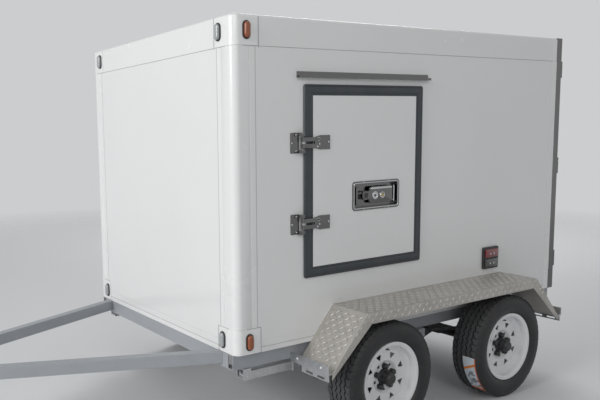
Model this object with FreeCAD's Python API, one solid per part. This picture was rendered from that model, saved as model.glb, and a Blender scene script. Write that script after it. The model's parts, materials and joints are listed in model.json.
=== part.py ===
import FreeCAD, Part
import math
import os

os.makedirs("parts", exist_ok=True)

V = FreeCAD.Vector
UP = V(0, 0, 1)
ALONG = V(1, 0, 0)
ACROSS = V(0, 1, 0)
SIDES = (("left", -1), ("right", 1))
ENDS = (-1, 1)

# Insulated box, in millimetres: X runs rearwards, the left side is at minus Y, Z is up
box_length = 2500.0
box_width = 1540.0
box_height = 1600.0
floor_above_axle = 210.0
wall = 50.0
floor_thickness = 60.0
lining_gauge = 3.0
lining_gap = 10.0

# Edge profiles and corner caps of the box
post_leg = 127.0
band_leg = 110.0
top_band = 142.0
sill_height = 26.0
cap_leg = 148.0
cap_foot = 126.0
corner_radius = 40.0
edge_radius = 16.0
groove_place = 92.0
groove_width = 4.0
groove_depth = 2.0

# Chassis and drawbar
rail_height = 76.0
rail_flange = 40.0
rail_gauge = 5.0
rail_inset = 30.0
member_width = 40.0
member_gauge = 4.0
member_spaces = 5
arm_width = 50.0
arm_height = 60.0
arm_gauge = 4.0
arm_foot_inset = 142.0
arm_tip_y = 57.0
arm_length = 1440.0
nose_length = 100.0
nose_root = 60.0
gusset_length = 215.0
gusset_gauge = 6.0
gusset_inset = 4.0

# Ball coupling
ball_radius = 25.0
ball_gap = 0.6
coupling_wall = 12.0
ball_ahead = 128.0
ball_drop = 26.0
socket_depth = 22.0
saddle_gauge = 8.0
saddle_length = 86.0
handle_width = 24.0
handle_gauge = 12.0
handle_rise = 14.0
handle_length = 92.0
handle_post = 26.0
handle_overhang = 6.0

# Jack
jack_setback = 110.0
jack_tube_radius = 29.0
jack_hole_gap = 1.0
jack_tube_below = 238.0
jack_tube_above = 342.0
jack_cap = 30.0
jack_leg_radius = 23.0
jack_leg_length = 570.0
jack_gap = 0.5
jack_foot = 130.0
jack_foot_gauge = 8.0
jack_flange = 120.0
jack_flange_gauge = 10.0
crank_drop = 15.0
crank_radius = 7.0
crank_out = 54.0
crank_gauge = 8.0
crank_width = 16.0
crank_reach = 150.0
grip_radius = 11.0
grip_length = 95.0

# Tyres: the sidewall's rows are (inset from the widest, share of the height from flange to tread)
axle_spacing = 960.0
axle_setback = 50.0
tyre_radius = 298.0
tyre_half = 92.0
tyre_gap = 43.0
sidewall = ((1.0, 0.26), (0.0, 0.47), (5.0, 0.71), (12.0, 0.88))
shoulder_inset = 22.0
shoulder_drop = 3.0
tread_groove = 8.0
tread_groove_half = 4.0
tread_groove_places = (48.0, 16.0, -16.0, -48.0)

# Rims
bead_radius = 178.0
bead_gap = 0.3
rim_half = 70.0
rim_lip = 8.0
flange_height = 17.5
flange_fold = 5.0
rim_gauge = 4.5
drop_depth = 26.0
disc_face = 32.0
disc_gauge = 5.0
disc_shoulder = 88.0
disc_dish = 12.0
pad_radius = 74.0
disc_hole_radius = 42.0
window_count = 8
window_inner = 96.0
window_outer = 130.0
window_half = 21.0
window_corner = 4.0

# Hubs and axles
nut_count = 5
nut_circle = 57.15
nut_radius = 12.0
nut_height = 15.0
stud_radius = 6.0
stud_gap = 0.5
stud_tail = 6.0
drum_radius = 112.0
drum_back = 56.0
drum_step = 8.0
hub_cap_radius = 33.0
hub_cap_reach = 82.0
hub_collar = 4.0
spindle_radius = 16.0
spindle_gap = 0.5
spindle_end_gap = 4.0
backing_gap = 5.0
backing_gauge = 4.0
backing_rim = 4.0
axle_tube = 50.0
axle_boss_radius = 38.0
axle_boss_back = 110.0
axle_lap = 5.0
spring_pad_gauge = 8.0
spring_pad_half = 40.0

# Leaf springs, hangers and equalisers
spring_span = 800.0
spring_sag = 45.0
spring_width = 60.0
leaf_gauge = 8.0
leaf_lengths = (800.0, 640.0, 460.0, 280.0)
eye_radius = 18.0
pin_radius = 8.0
pin_gap = 0.3
pin_tail = 6.0
ear_gauge = 6.0
ear_gap = 2.0
ear_half = 26.0
ear_drop = 22.0
ear_bridge = 6.0
clamp_side = 9.0
clamp_margin = 14.0
clamp_half = 44.0
clamp_gauge = 8.0
bolt_radius = 6.0
bolt_y = 37.0
bolt_tail = 14.0
bolt_head = 6.0
rocker_end = 20.0
rocker_top = 12.0
rocker_low = 10.0
rocker_mid = 34.0

# Mudguards and their stays
guard_clearance = 84.0
guard_margin = 15.0
guard_overhang = 205.0
guard_run = 232.0
guard_drop = 262.0
guard_gauge = 3.0
skirt_depth = 56.0
skirt_tip = 28.0
skirt_step = 27.0
stay_ahead = 28.0
stay_gauge = 5.0
stay_height = 48.0
stay_inset = 80.0
stay_lip = 34.0
stay_lap = 2.0
slot_places = (110.0, 190.0)
slot_length = 50.0
slot_height = 10.0
slot_drop = 17.0

# Side door on the left: heights are above the underside of the box
door_front = 415.0
door_length = 838.0
door_bottom = 332.0
door_headroom = 312.0
gasket_width = 54.0
gasket_gauge = 10.0
gasket_corner = 12.0
seal_gap = 3.0
door_lap = 26.0
door_gap = 10.0

# Side door hinges
hinge_ahead = 18.0
hinge_out = 22.0
hinge_low = 276.0
hinge_high = 282.0
hinge_barrel = 9.0
hinge_pin = 4.0
hinge_plate_far = 64.0
hinge_plate_near = 13.0
hinge_plate_half = 50.0
hinge_plate_gauge = 5.0
hinge_plate_corner = 5.0
hinge_lug = 18.0
hinge_lug_back = 27.0
hinge_lug_half = 4.0
strap_inset = 4.0
strap_length = 102.0
strap_taper = 36.0
strap_half = 26.0
strap_wide = 35.0
strap_gauge = 5.0
strap_slot = 6.0
strap_riser = 6.0

# Flush lock of the side door
lock_length = 341.0
lock_back = 181.0
lock_height = 151.0
lock_rise = 314.0
lock_depth = 24.0
lock_rim = 12.0
lock_lip = 4.0
lock_sheet = 3.0
lock_corner = 18.0
pan_corner = 12.0
paddle_start = 75.0
paddle_end = 58.0
paddle_half = 22.0
paddle_gauge = 8.0
paddle_corner = 13.0
paddle_hub = 24.0
key_place = 215.0
key_radius = 13.0

# Gutter above the side door
gutter_ahead = 41.0
gutter_behind = 47.0
gutter_rise = 30.0
gutter_height = 31.0
gutter_reach = 26.0
gutter_gauge = 4.0
gutter_lip = 12.0

# Rear frame and doors
rear_frame_depth = 50.0
rear_frame_bar = 55.0
leaf_gap = 8.0
meeting_gap = 14.0
rear_hinge_inset = 20.0
rear_hinge_back = 24.0
rear_hinge_margin = 192.0
rear_barrel = 11.0
rear_lug = 20.0
rear_lug_half = 4.0
knuckle = 60.0
knuckle_gap = 1.0
rear_strap_gauge = 5.0
rear_strap_length = 176.0
rear_strap_inset = 4.0
lock_rod_y = 130.0
lock_rod_radius = 12.0
lock_rod_stand = 24.0
lock_rod_margin = 20.0
rod_clamp_count = 4
rod_clamp_margin = 24.0
rod_clamp_height = 30.0
rod_clamp_half = 28.0
rod_clamp_out = 4.0
rear_handle_rise = 672.0
rear_handle_length = 260.0
rear_handle_height = 34.0
rear_handle_half = 6.0
keeper_inset = 10.0
keeper_length = 30.0
keeper_margin = 10.0

# Lamps, light bar and number plate
lamp_front_inset = 110.0
lamp_side_x = 78.0
lamp_rear_inset = 28.0
lamp_low_rise = 62.0
lamp_high_drop = 72.0
lamp_width = 44.0
lamp_height = 84.0
lens_margin = 6.0
bezel_gauge = 6.0
lens_gauge = 14.0
side_lamp_behind = 32.0
side_lamp_rise = 208.0
side_lamp_width = 140.0
side_lamp_height = 132.0
side_lamp_gauge = 14.0
side_lamp_corner = 10.0
side_lens_margin = 12.0
side_lens_gauge = 10.0
side_lens_height = 50.0
light_bar_drop = 90.0
light_bar_inset = 105.0
light_bar_setback = 36.0
light_bar_depth = 30.0
light_bar_gauge = 4.0
tail_lamp_length = 250.0
tail_lamp_inset = 20.0
tail_lamp_gap = 6.0
plate_half = 165.0
plate_gauge = 3.0
plate_height = 78.0

# Steadies
steady_setback = 78.0
rear_steady_setback = 28.0
steady_clearance = 20.0
steady_width = 40.0
steady_height = 42.0
steady_gauge = 3.0
steady_drop = 40.0
steady_pin = 6.0
steady_pin_gap = 0.4
steady_tail = 14.0
steady_boss = 11.0
steady_screw = 8.0
steady_screw_start = 20.0
steady_nut_start = 50.0
steady_nut_length = 20.0
steady_nut_drop = 14.0
steady_foot_gauge = 6.0
steady_foot_lip = 5.0
bracket_gap = 5.0
bracket_gauge = 5.0
bracket_half = 22.0

# Places worked out from the sizes above
rear_back = box_length + rear_frame_depth
rear_end = rear_back + lock_rod_stand + lock_rod_radius
front_end = arm_length + ball_ahead + ball_radius + coupling_wall
x0 = (front_end - rear_end) / 2.0
axle_z = tyre_radius
side_y = box_width / 2.0
inner_y = side_y - wall
floor_z = axle_z + floor_above_axle
inner_floor_z = floor_z + floor_thickness
roof_z = floor_z + box_height
rail_z = floor_z - rail_height
rail_y = side_y - rail_inset
rail_mid_y = rail_y - rail_flange / 2.0
arm_z = floor_z - arm_height
arm_foot_y = side_y - arm_foot_inset
axle_mid = box_length / 2.0 + axle_setback
axle_xs = (("front", axle_mid - axle_spacing / 2.0), ("rear", axle_mid + axle_spacing / 2.0))
track_half = side_y + tyre_gap + tyre_half
door_rear = door_front + door_length
door_top = box_height - door_headroom
hinge_x = door_front - hinge_ahead
hinge_heights = (door_bottom + hinge_low, door_top - hinge_high)
lock_rear = door_rear - lock_back
lock_front = lock_rear - lock_length
lock_bottom = door_bottom + lock_rise
lock_top = lock_bottom + lock_height


def block(x_low, x_high, y_low, y_high, z_low, z_high):
    corner = V(x0 + x_low, y_low, z_low)
    return Part.makeBox(x_high - x_low, y_high - y_low, z_high - z_low, corner)


def side_block(side, x_low, x_high, y_low, y_high, z_low, z_high):
    """A block given by its distances from the centre plane, on one side."""
    near, far = sorted((side * y_low, side * y_high))
    return block(x_low, x_high, near, far, z_low, z_high)


def rounded_block(x_low, x_high, y_low, y_high, z_low, z_high, radius):
    """A block whose four edges across the trailer are rounded."""
    solid = block(x_low, x_high, y_low, y_high, z_low, z_high)
    edges = [edge for edge in solid.Edges if edge.BoundBox.XLength + edge.BoundBox.ZLength < 0.1]
    return solid.makeFillet(radius, edges)


def rod(x, y, z, radius, length, direction):
    return Part.makeCylinder(radius, length, V(x0 + x, y, z), direction)


def plate(points, direction):
    """A flat polygon given by its corners, pushed along a direction."""
    corners = [V(x0 + x, y, z) for x, y, z in points]
    return Part.Face(Part.makePolygon(corners + corners[:1])).extrude(direction)


def join(solids):
    return solids[0].fuse(list(solids[1:])).removeSplitter()


def save(name, solids):
    solids = solids if isinstance(solids, (list, tuple)) else [solids]
    flat = []
    for shape in solids:
        flat.extend(shape.Solids)
    result = flat[0] if len(flat) == 1 else Part.makeCompound(flat)
    result.exportStep("parts/" + name + ".step")
    volume = sum(solid.Volume for solid in flat)
    print(name, len(flat), "solids", round(volume / 1e6, 3), "litres")


def rounded_section(points, radius):
    """A closed outline whose first corner is an arc of the radius."""
    corner = points[0]
    to_before = (points[-1] - corner).normalize()
    to_after = (points[1] - corner).normalize()
    start = corner + to_before * radius
    end = corner + to_after * radius
    centre = corner + (to_before + to_after) * radius
    middle = centre + (corner - centre).normalize() * radius
    edges = [Part.Arc(start, middle, end).toShape()]
    ring = [end] + points[1:] + [start]
    for first, second in zip(ring[:-1], ring[1:]):
        edges.append(Part.LineSegment(first, second).toShape())
    return Part.Face(Part.Wire(edges))


# Corner caps: three walls that meet at a corner of the box
def is_upright_corner(edge):
    """True for the upright edge of a front cap at the corner of the box."""
    centre = edge.BoundBox.Center
    return edge.BoundBox.ZLength > 1 and abs(centre.x - x0) < 0.01 and abs(abs(centre.y) - side_y) < 0.01


def is_roof_edge(edge):
    """True for the top edges of a cap that lie along the outside of the box."""
    centre = edge.BoundBox.Center
    outside = abs(centre.y) > side_y - corner_radius or centre.x < x0 + 0.01
    return edge.BoundBox.ZMin > roof_z - 0.01 and outside


def make_cap(side, at_front, at_top):
    height = top_band if at_top else cap_foot
    z_low = roof_z - height if at_top else floor_z
    x_low = 0.0 if at_front else box_length - wall
    x_high = cap_leg if at_front else box_length
    cap = side_block(side, x_low, x_high, side_y - cap_leg, side_y, z_low, z_low + height)
    if at_front:
        cap = cap.makeFillet(corner_radius, [edge for edge in cap.Edges if is_upright_corner(edge)])
    if at_top:
        cap = cap.makeFillet(edge_radius, [edge for edge in cap.Edges if is_roof_edge(edge)])
    hollow_front = wall if at_front else x_low
    hollow_low = z_low if at_top else inner_floor_z
    hollow_high = roof_z - wall if at_top else z_low + height
    hollow = side_block(side, hollow_front, x_high, side_y - cap_leg, inner_y, hollow_low, hollow_high)
    return cap.cut(hollow)


caps = {(side, at_front, at_top): make_cap(side, at_front, at_top)
        for name, side in SIDES for at_front in (True, False) for at_top in (True, False)}
save("corner_caps", list(caps.values()))


# Edge profiles: front posts, top bands, sills and the profiles of the rear end
def make_post(side):
    """A front corner post: an L section with a rounded corner and two grooves."""
    outer = [V(x0, side * side_y, 0), V(x0, side * (side_y - post_leg), 0),
             V(x0 + wall, side * (side_y - post_leg), 0), V(x0 + wall, side * inner_y, 0),
             V(x0 + post_leg, side * inner_y, 0), V(x0 + post_leg, side * side_y, 0)]
    face = rounded_section(outer, corner_radius)
    low = floor_z + cap_foot
    high = roof_z - top_band
    face.translate(UP * low)
    post = face.extrude(UP * (high - low))
    side_groove = side_block(side, groove_place, groove_place + groove_width, side_y - groove_depth,
                             side_y + 1, low, high)
    front_groove = side_block(side, -1, groove_depth, side_y - groove_place - groove_width,
                              side_y - groove_place, low, high)
    return post.cut([side_groove, front_groove])


def make_side_band(side):
    """A top edge profile along one side: an L section with a rounded outer corner."""
    outer = [V(0, side * side_y, roof_z), V(0, side * (side_y - band_leg), roof_z),
             V(0, side * (side_y - band_leg), roof_z - wall), V(0, side * inner_y, roof_z - wall),
             V(0, side * inner_y, roof_z - top_band), V(0, side * side_y, roof_z - top_band)]
    face = rounded_section(outer, edge_radius)
    face.translate(ALONG * (x0 + cap_leg))
    return face.extrude(ALONG * (box_length - cap_leg - wall))


def make_front_band():
    half = side_y - cap_leg
    outer = [V(x0, -half, roof_z), V(x0 + band_leg, -half, roof_z),
             V(x0 + band_leg, -half, roof_z - wall), V(x0 + wall, -half, roof_z - wall),
             V(x0 + wall, -half, roof_z - top_band), V(x0, -half, roof_z - top_band)]
    face = rounded_section(outer, edge_radius)
    return face.extrude(ACROSS * (2.0 * half))


def make_sills():
    half = side_y - cap_leg
    depth = wall / 2.0
    top = floor_z + sill_height
    front = block(0, depth, -half, half, floor_z, top)
    along = [side_block(side, cap_leg, box_length - wall, side_y - depth, side_y, floor_z, top)
             for name, side in SIDES]
    return [front] + along


def make_rear_profiles():
    front = box_length - wall
    half = side_y - cap_leg
    posts = [side_block(side, front, box_length, inner_y, side_y, floor_z + cap_foot, roof_z - top_band)
             for name, side in SIDES]
    header = block(front, box_length, -half, half, roof_z - wall, roof_z)
    return posts + [header]


sills = make_sills()
profiles = [make_post(side) for name, side in SIDES]
profiles += [make_side_band(side) for name, side in SIDES]
profiles += [make_front_band()] + sills + make_rear_profiles()
save("edge_profiles", profiles)

# Panels: floor with its lining, roof and walls
front_cap_room = Part.makeCompound([
    side_block(side, -1, cap_leg, side_y - cap_leg, side_y + 1, floor_z - 1, floor_z + cap_foot)
    for name, side in SIDES])
rear_low_caps = [caps[(side, False, False)] for name, side in SIDES]
top_caps = [caps[(side, at_front, True)] for name, side in SIDES for at_front in (True, False)]

floor = block(0, box_length, -side_y, side_y, floor_z, inner_floor_z)
save("floor_panel", floor.cut([front_cap_room] + sills + rear_low_caps))
lining_half = inner_y - lining_gap
save("floor_lining", block(wall + lining_gap, box_length - lining_gap, -lining_half, lining_half,
                           inner_floor_z, inner_floor_z + lining_gauge))
roof = block(band_leg, box_length - wall, -side_y + band_leg, side_y - band_leg, roof_z - wall, roof_z)
save("roof_panel", roof.cut(Part.makeCompound(top_caps)))
front_wall = block(0, wall, -side_y + post_leg, side_y - post_leg, inner_floor_z, roof_z - top_band)
save("front_wall", front_wall.cut(front_cap_room))


def make_side_wall(side):
    slab = side_block(side, post_leg, box_length - wall, inner_y, side_y, inner_floor_z, roof_z - top_band)
    return slab.cut(front_cap_room)


doorway = block(door_front + door_lap, door_rear - door_lap, -side_y - 1, -inner_y + 1,
                floor_z + door_bottom + door_lap, floor_z + door_top - door_lap)
save("left_wall", make_side_wall(-1).cut(doorway))
save("right_wall", make_side_wall(1))


# Rear door frame with its hinge lugs and pins
rear_hinge_x = rear_back + rear_hinge_back
rear_hinge_y = side_y - rear_hinge_inset
rear_hinge_zs = (floor_z + rear_hinge_margin, (floor_z + roof_z) / 2.0, roof_z - rear_hinge_margin)


def make_rear_lugs(side, hinge_z):
    """The two lugs of one hinge and the pin between them."""
    half = knuckle / 2.0
    pieces = [rod(rear_hinge_x, side * rear_hinge_y, hinge_z - half - rear_lug, hinge_pin,
                  knuckle + 2 * rear_lug, UP)]
    for low in (hinge_z + half + knuckle_gap, hinge_z - half - knuckle_gap - rear_lug):
        pieces.append(side_block(side, rear_back, rear_hinge_x, rear_hinge_y - rear_lug_half,
                                 rear_hinge_y + rear_lug_half, low, low + rear_lug))
        pieces.append(rod(rear_hinge_x, side * rear_hinge_y, low, rear_barrel, rear_lug, UP))
    return pieces


def make_rear_frame():
    outer = block(box_length, rear_back, -side_y, side_y, floor_z, roof_z)
    opening = block(box_length - 1, rear_back + 1, -side_y + rear_frame_bar, side_y - rear_frame_bar,
                    floor_z + rear_frame_bar, roof_z - rear_frame_bar)
    pieces = [outer.cut(opening)]
    for name, side in SIDES:
        for hinge_z in rear_hinge_zs:
            pieces += make_rear_lugs(side, hinge_z)
    return join(pieces)


save("rear_frame", make_rear_frame())

# Rear door leaves with their hinge straps and lock rods
leaf_outer = side_y - rear_frame_bar - leaf_gap
leaf_low = floor_z + rear_frame_bar + leaf_gap
leaf_high = roof_z - rear_frame_bar - leaf_gap


def make_rear_leaf(side):
    return side_block(side, box_length, rear_back, meeting_gap / 2.0, leaf_outer, leaf_low, leaf_high)


def make_rear_strap(side, hinge_z):
    """A strap along the leaf that cranks out to its knuckle."""
    low = hinge_z - knuckle / 2.0
    high = hinge_z + knuckle / 2.0
    edge = leaf_outer - rear_strap_inset
    bend = edge - rear_strap_gauge
    out = rear_hinge_x + rear_strap_gauge
    inner = edge - rear_strap_length
    strap = side_block(side, rear_back, rear_back + rear_strap_gauge, inner, edge, low, high)
    crank = side_block(side, rear_back, out, bend, edge, low, high)
    reach = side_block(side, rear_hinge_x, out, bend, rear_hinge_y, low, high)
    barrel = rod(rear_hinge_x, side * rear_hinge_y, low, rear_barrel, knuckle, UP)
    bore = rod(rear_hinge_x, side * rear_hinge_y, low - 1, hinge_pin + pin_gap, knuckle + 2, UP)
    return join([strap, crank, reach, barrel]).cut(bore)


def make_lock_rod(side):
    """An upright rod in its clamps, with a handle and its keeper."""
    x = rear_back + lock_rod_stand
    low = leaf_low + lock_rod_margin
    high = leaf_high - lock_rod_margin
    pieces = [rod(x, side * lock_rod_y, low, lock_rod_radius, high - low, UP)]
    clamp_step = (high - low - 2 * rod_clamp_margin) / (rod_clamp_count - 1)
    for index in range(rod_clamp_count):
        clamp_z = low + rod_clamp_margin + clamp_step * index - rod_clamp_height / 2.0
        pieces.append(side_block(side, rear_back, x + rod_clamp_out, lock_rod_y - rod_clamp_half,
                                 lock_rod_y + rod_clamp_half, clamp_z, clamp_z + rod_clamp_height))
    handle_z = floor_z + rear_handle_rise
    handle_y = lock_rod_y + rear_handle_length
    pieces.append(side_block(side, x - rear_handle_half, x + rear_handle_half, lock_rod_y, handle_y,
                             handle_z, handle_z + rear_handle_height))
    pieces.append(side_block(side, rear_back, x + keeper_margin, handle_y - keeper_inset - keeper_length,
                             handle_y - keeper_inset, handle_z - keeper_margin,
                             handle_z + rear_handle_height + keeper_margin))
    return join(pieces)


for name, side in SIDES:
    save("rear_leaf_" + name, make_rear_leaf(side))
    straps = [make_rear_strap(side, hinge_z) for hinge_z in rear_hinge_zs]
    save("rear_gear_" + name, straps + [make_lock_rod(side)])

# Side door: leaf with its plug, gasket and flush lock
wall_y = -side_y
seal_y = wall_y - seal_gap
face_y = seal_y - gasket_gauge
door_low_z = floor_z + door_bottom
door_high_z = floor_z + door_top


def lock_room(inset, y_low, y_high, corner):
    """A rounded block of the lock's outline, drawn in by an inset."""
    return rounded_block(lock_front + inset, lock_rear - inset, y_low, y_high,
                         floor_z + lock_bottom + inset, floor_z + lock_top - inset, corner)


def make_door_leaf():
    plug_in = door_lap + door_gap
    plug = block(door_front + plug_in, door_rear - plug_in, seal_y, -inner_y,
                 door_low_z + plug_in, door_high_z - plug_in)
    face = block(door_front + gasket_width, door_rear - gasket_width, face_y, seal_y,
                 door_low_z + gasket_width, door_high_z - gasket_width)
    pocket = lock_room(lock_rim, face_y - 1, face_y + lock_depth, pan_corner)
    return plug.fuse(face).removeSplitter().cut(pocket)


def make_gasket():
    outer = rounded_block(door_front, door_rear, face_y, seal_y, door_low_z, door_high_z, gasket_corner)
    hole = block(door_front + gasket_width, door_rear - gasket_width, face_y - 1, seal_y + 1,
                 door_low_z + gasket_width, door_high_z - gasket_width)
    return outer.cut(hole)


def make_door_lock():
    """A pan let into the leaf, with a paddle on its hub and a key barrel."""
    rim = lock_room(0.0, face_y - lock_lip, face_y, lock_corner)
    pan = lock_room(lock_rim, face_y - lock_lip, face_y + lock_depth, pan_corner)
    hollow = lock_room(lock_rim + lock_sheet, face_y - lock_lip - 1, face_y + lock_depth - lock_sheet,
                       pan_corner - lock_sheet)
    middle_z = floor_z + (lock_bottom + lock_top) / 2.0
    paddle = rounded_block(lock_front + paddle_start, lock_rear - paddle_end, face_y, face_y + paddle_gauge,
                           middle_z - paddle_half, middle_z + paddle_half, paddle_corner)
    hub = rod(lock_front + paddle_start + paddle_half, face_y, middle_z, paddle_hub, lock_depth, ACROSS)
    key = rod(lock_front + key_place, face_y - lock_lip, middle_z, key_radius, lock_depth, ACROSS)
    return join([rim.fuse(pan).cut(hollow), paddle, hub, key])


save("side_door_leaf", make_door_leaf())
save("side_door_gasket", make_gasket())
save("side_door_lock", make_door_lock())

# Side door hinges: two-armed straps on the leaf, plates with pins on the wall
hinge_axis_y = wall_y - hinge_out


def make_strap(z):
    near = door_front + gasket_width + strap_inset
    far = near + strap_length
    bend = near + strap_taper
    arm_y_low = hinge_axis_y - strap_gauge
    outline = [(near, z - strap_half), (bend, z - strap_wide), (far, z - strap_wide),
               (far, z + strap_wide), (bend, z + strap_wide), (near, z + strap_half)]
    leaf_plate = plate([(x, face_y - strap_gauge, height) for x, height in outline], ACROSS * strap_gauge)
    arms = block(hinge_x, near + strap_riser, arm_y_low, hinge_axis_y, z - strap_half, z + strap_half)
    slot = block(hinge_x + hinge_barrel + strap_slot, near - strap_slot, arm_y_low - 1, hinge_axis_y + 1,
                 z - strap_slot, z + strap_slot)
    riser = block(near, near + strap_riser, arm_y_low, face_y, z - strap_half, z + strap_half)
    barrel = rod(hinge_x, hinge_axis_y, z - strap_half, hinge_barrel, 2 * strap_half, UP)
    bore = rod(hinge_x, hinge_axis_y, z - strap_half - 1, hinge_pin + pin_gap, 2 * strap_half + 2, UP)
    return join([leaf_plate, arms.cut(slot), riser, barrel]).cut(bore)


def make_hinge_plate(z):
    near = hinge_x - hinge_plate_near
    lug_start = hinge_x - hinge_lug_back
    base = rounded_block(hinge_x - hinge_plate_far, near, wall_y - hinge_plate_gauge, wall_y,
                         z - hinge_plate_half, z + hinge_plate_half, hinge_plate_corner)
    pieces = [base, rod(hinge_x, hinge_axis_y, z - hinge_plate_half, hinge_pin, 2 * hinge_plate_half, UP)]
    for low in (z - hinge_plate_half, z + hinge_plate_half - hinge_lug):
        high = low + hinge_lug
        pieces.append(rod(hinge_x, hinge_axis_y, low, hinge_barrel, hinge_lug, UP))
        pieces.append(block(lug_start, hinge_x, hinge_axis_y - hinge_lug_half,
                            hinge_axis_y + hinge_lug_half, low, high))
        pieces.append(block(lug_start, near, hinge_axis_y - hinge_lug_half, wall_y, low, high))
    return join(pieces)


save("side_door_straps", [make_strap(floor_z + height) for height in hinge_heights])
save("side_hinge_plates", [make_hinge_plate(floor_z + height) for height in hinge_heights])


def make_gutter():
    """A folded drip rail: back, floor and a low front lip."""
    front = door_front - gutter_ahead
    back = door_rear + gutter_behind
    low = door_high_z + gutter_rise
    out = wall_y - gutter_reach
    return join([block(front, back, wall_y - gutter_gauge, wall_y, low, low + gutter_height),
                 block(front, back, out, wall_y, low, low + gutter_gauge),
                 block(front, back, out, out + gutter_gauge, low, low + gutter_lip)])


save("drip_gutter", make_gutter())


# Chassis: side rails and cross members
def make_rail(side):
    """A side rail: a channel open towards the middle."""
    web = side_block(side, 0, rear_back, rail_y - rail_gauge, rail_y, rail_z, floor_z)
    low = side_block(side, 0, rear_back, rail_y - rail_flange, rail_y, rail_z, rail_z + rail_gauge)
    high = side_block(side, 0, rear_back, rail_y - rail_flange, rail_y, floor_z - rail_gauge, floor_z)
    return join([web, low, high])


def make_member(x_low):
    half = rail_y - rail_flange
    web = block(x_low, x_low + member_gauge, -half, half, rail_z, floor_z)
    low = block(x_low, x_low + member_width, -half, half, rail_z, rail_z + member_gauge)
    high = block(x_low, x_low + member_width, -half, half, floor_z - member_gauge, floor_z)
    return join([web, low, high])


member_step = (rear_back - member_width) / member_spaces
save("side_rails", [make_rail(side) for name, side in SIDES])
save("cross_members", [make_member(member_step * index) for index in range(member_spaces + 1)])


# Drawbar: two hollow arms, a solid nose and two gussets that hold the jack
def arm_y(x):
    """Distance of an arm's centre line from the middle, at x ahead of the box."""
    return arm_foot_y + (arm_foot_y - arm_tip_y) * x / arm_length


arm_turn = math.atan2(arm_foot_y - arm_tip_y, arm_length)
arm_half = arm_width / 2.0 / math.cos(arm_turn)
nose_half = arm_tip_y - arm_half
nose_front = arm_length + nose_length
nose_back = arm_length - nose_root
jack_x = -arm_length + jack_setback


def make_arm(side):
    outline = [(0, arm_y(0) + arm_half), (0, arm_y(0) - arm_half),
               (-arm_length, arm_tip_y - arm_half), (-arm_length, arm_tip_y + arm_half)]
    solid = plate([(x, side * y, arm_z) for x, y in outline], UP * arm_height)
    inner = arm_half - arm_gauge / math.cos(arm_turn)
    tip = -arm_length - 1
    bore = [(1, arm_y(1) + inner), (1, arm_y(1) - inner),
            (tip, arm_y(tip) - inner), (tip, arm_y(tip) + inner)]
    hollow = plate([(x, side * y, arm_z + arm_gauge) for x, y in bore], UP * (arm_height - 2 * arm_gauge))
    return solid.cut(hollow)


def make_nose():
    wide = arm_y(-nose_back) - arm_half
    outline = [(-nose_front, -nose_half), (-arm_length, -nose_half), (-nose_back, -wide),
               (-nose_back, wide), (-arm_length, nose_half), (-nose_front, nose_half)]
    return plate([(x, y, arm_z) for x, y in outline], UP * arm_height)


def make_gusset(z):
    front = -arm_length + gusset_inset
    back = -arm_length + gusset_length
    ends = [(front, arm_y(front) + arm_half), (back, arm_y(back) + arm_half)]
    points = [(x, -y, z) for x, y in ends] + [(x, y, z) for x, y in reversed(ends)]
    hole = rod(jack_x, 0, z - 1, jack_tube_radius + jack_hole_gap, gusset_gauge + 2, UP)
    return plate(points, UP * gusset_gauge).cut(hole)


arms = [make_arm(side) for name, side in SIDES]
save("drawbar", arms + [make_nose(), make_gusset(floor_z), make_gusset(arm_z - gusset_gauge)])

# Ball coupling with its handle
ball_x = -arm_length - ball_ahead
ball_z = floor_z - ball_drop
coupling_radius = ball_radius + coupling_wall


def make_coupling():
    """A dome over the ball, a neck and a saddle on the nose of the drawbar."""
    half = nose_half + saddle_gauge
    top = floor_z + saddle_gauge
    low = ball_z - socket_depth
    back = -nose_front + saddle_length
    dome = Part.makeSphere(coupling_radius, V(x0 + ball_x, 0, ball_z))
    skirt = rod(ball_x, 0, low, coupling_radius, socket_depth, UP)
    neck = block(ball_x, -nose_front, -half, half, low, top)
    saddle = block(-nose_front, back, -half, half, arm_z, top)
    seat = block(-nose_front, back + 1, -nose_half, nose_half, arm_z - 1, floor_z)
    socket = Part.makeSphere(ball_radius + ball_gap, V(x0 + ball_x, 0, ball_z))
    mouth = rod(ball_x, 0, low - coupling_radius, ball_radius + ball_gap, socket_depth + coupling_radius, UP)
    under = block(ball_x - 2 * coupling_radius, ball_x + 2 * coupling_radius, -2 * coupling_radius,
                  2 * coupling_radius, low - coupling_radius, low)
    return join([dome, skirt, neck, saddle]).cut([seat, socket, mouth, under])


def make_handle():
    low = ball_z + coupling_radius + handle_rise
    half = handle_width / 2.0
    back = ball_x + handle_length
    grip = block(ball_x - handle_overhang, back, -half, half, low, low + handle_gauge)
    post = block(back - handle_post, back, -half, half, floor_z + saddle_gauge, low + handle_gauge)
    return join([grip, post])


save("coupling_head", make_coupling())
save("coupling_handle", make_handle())


# Jack: outer tube with flange and crank, inner leg with its foot
def make_jack_tube():
    bottom = floor_z - jack_tube_below
    top = floor_z + jack_tube_above
    tube = rod(jack_x, 0, bottom, jack_tube_radius, top - bottom, UP)
    bore = rod(jack_x, 0, bottom - 1, jack_leg_radius + jack_gap, top - bottom - jack_cap, UP)
    flange_z = floor_z + gusset_gauge
    half = jack_flange / 2.0
    flange = block(jack_x - half, jack_x + half, -half, half, flange_z, flange_z + jack_flange_gauge)
    crank_z = top - crank_drop
    grip_z = crank_z - crank_reach
    crank_half = crank_width / 2.0
    axle = rod(jack_x, 0, crank_z, crank_radius, crank_out + crank_gauge, ACROSS)
    crank = block(jack_x - crank_half, jack_x + crank_half, crank_out, crank_out + crank_gauge,
                  grip_z, crank_z + crank_half)
    grip = rod(jack_x, crank_out, grip_z + grip_radius, grip_radius, grip_length, ACROSS)
    return join([tube, flange, axle, crank, grip]).cut(bore)


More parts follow.
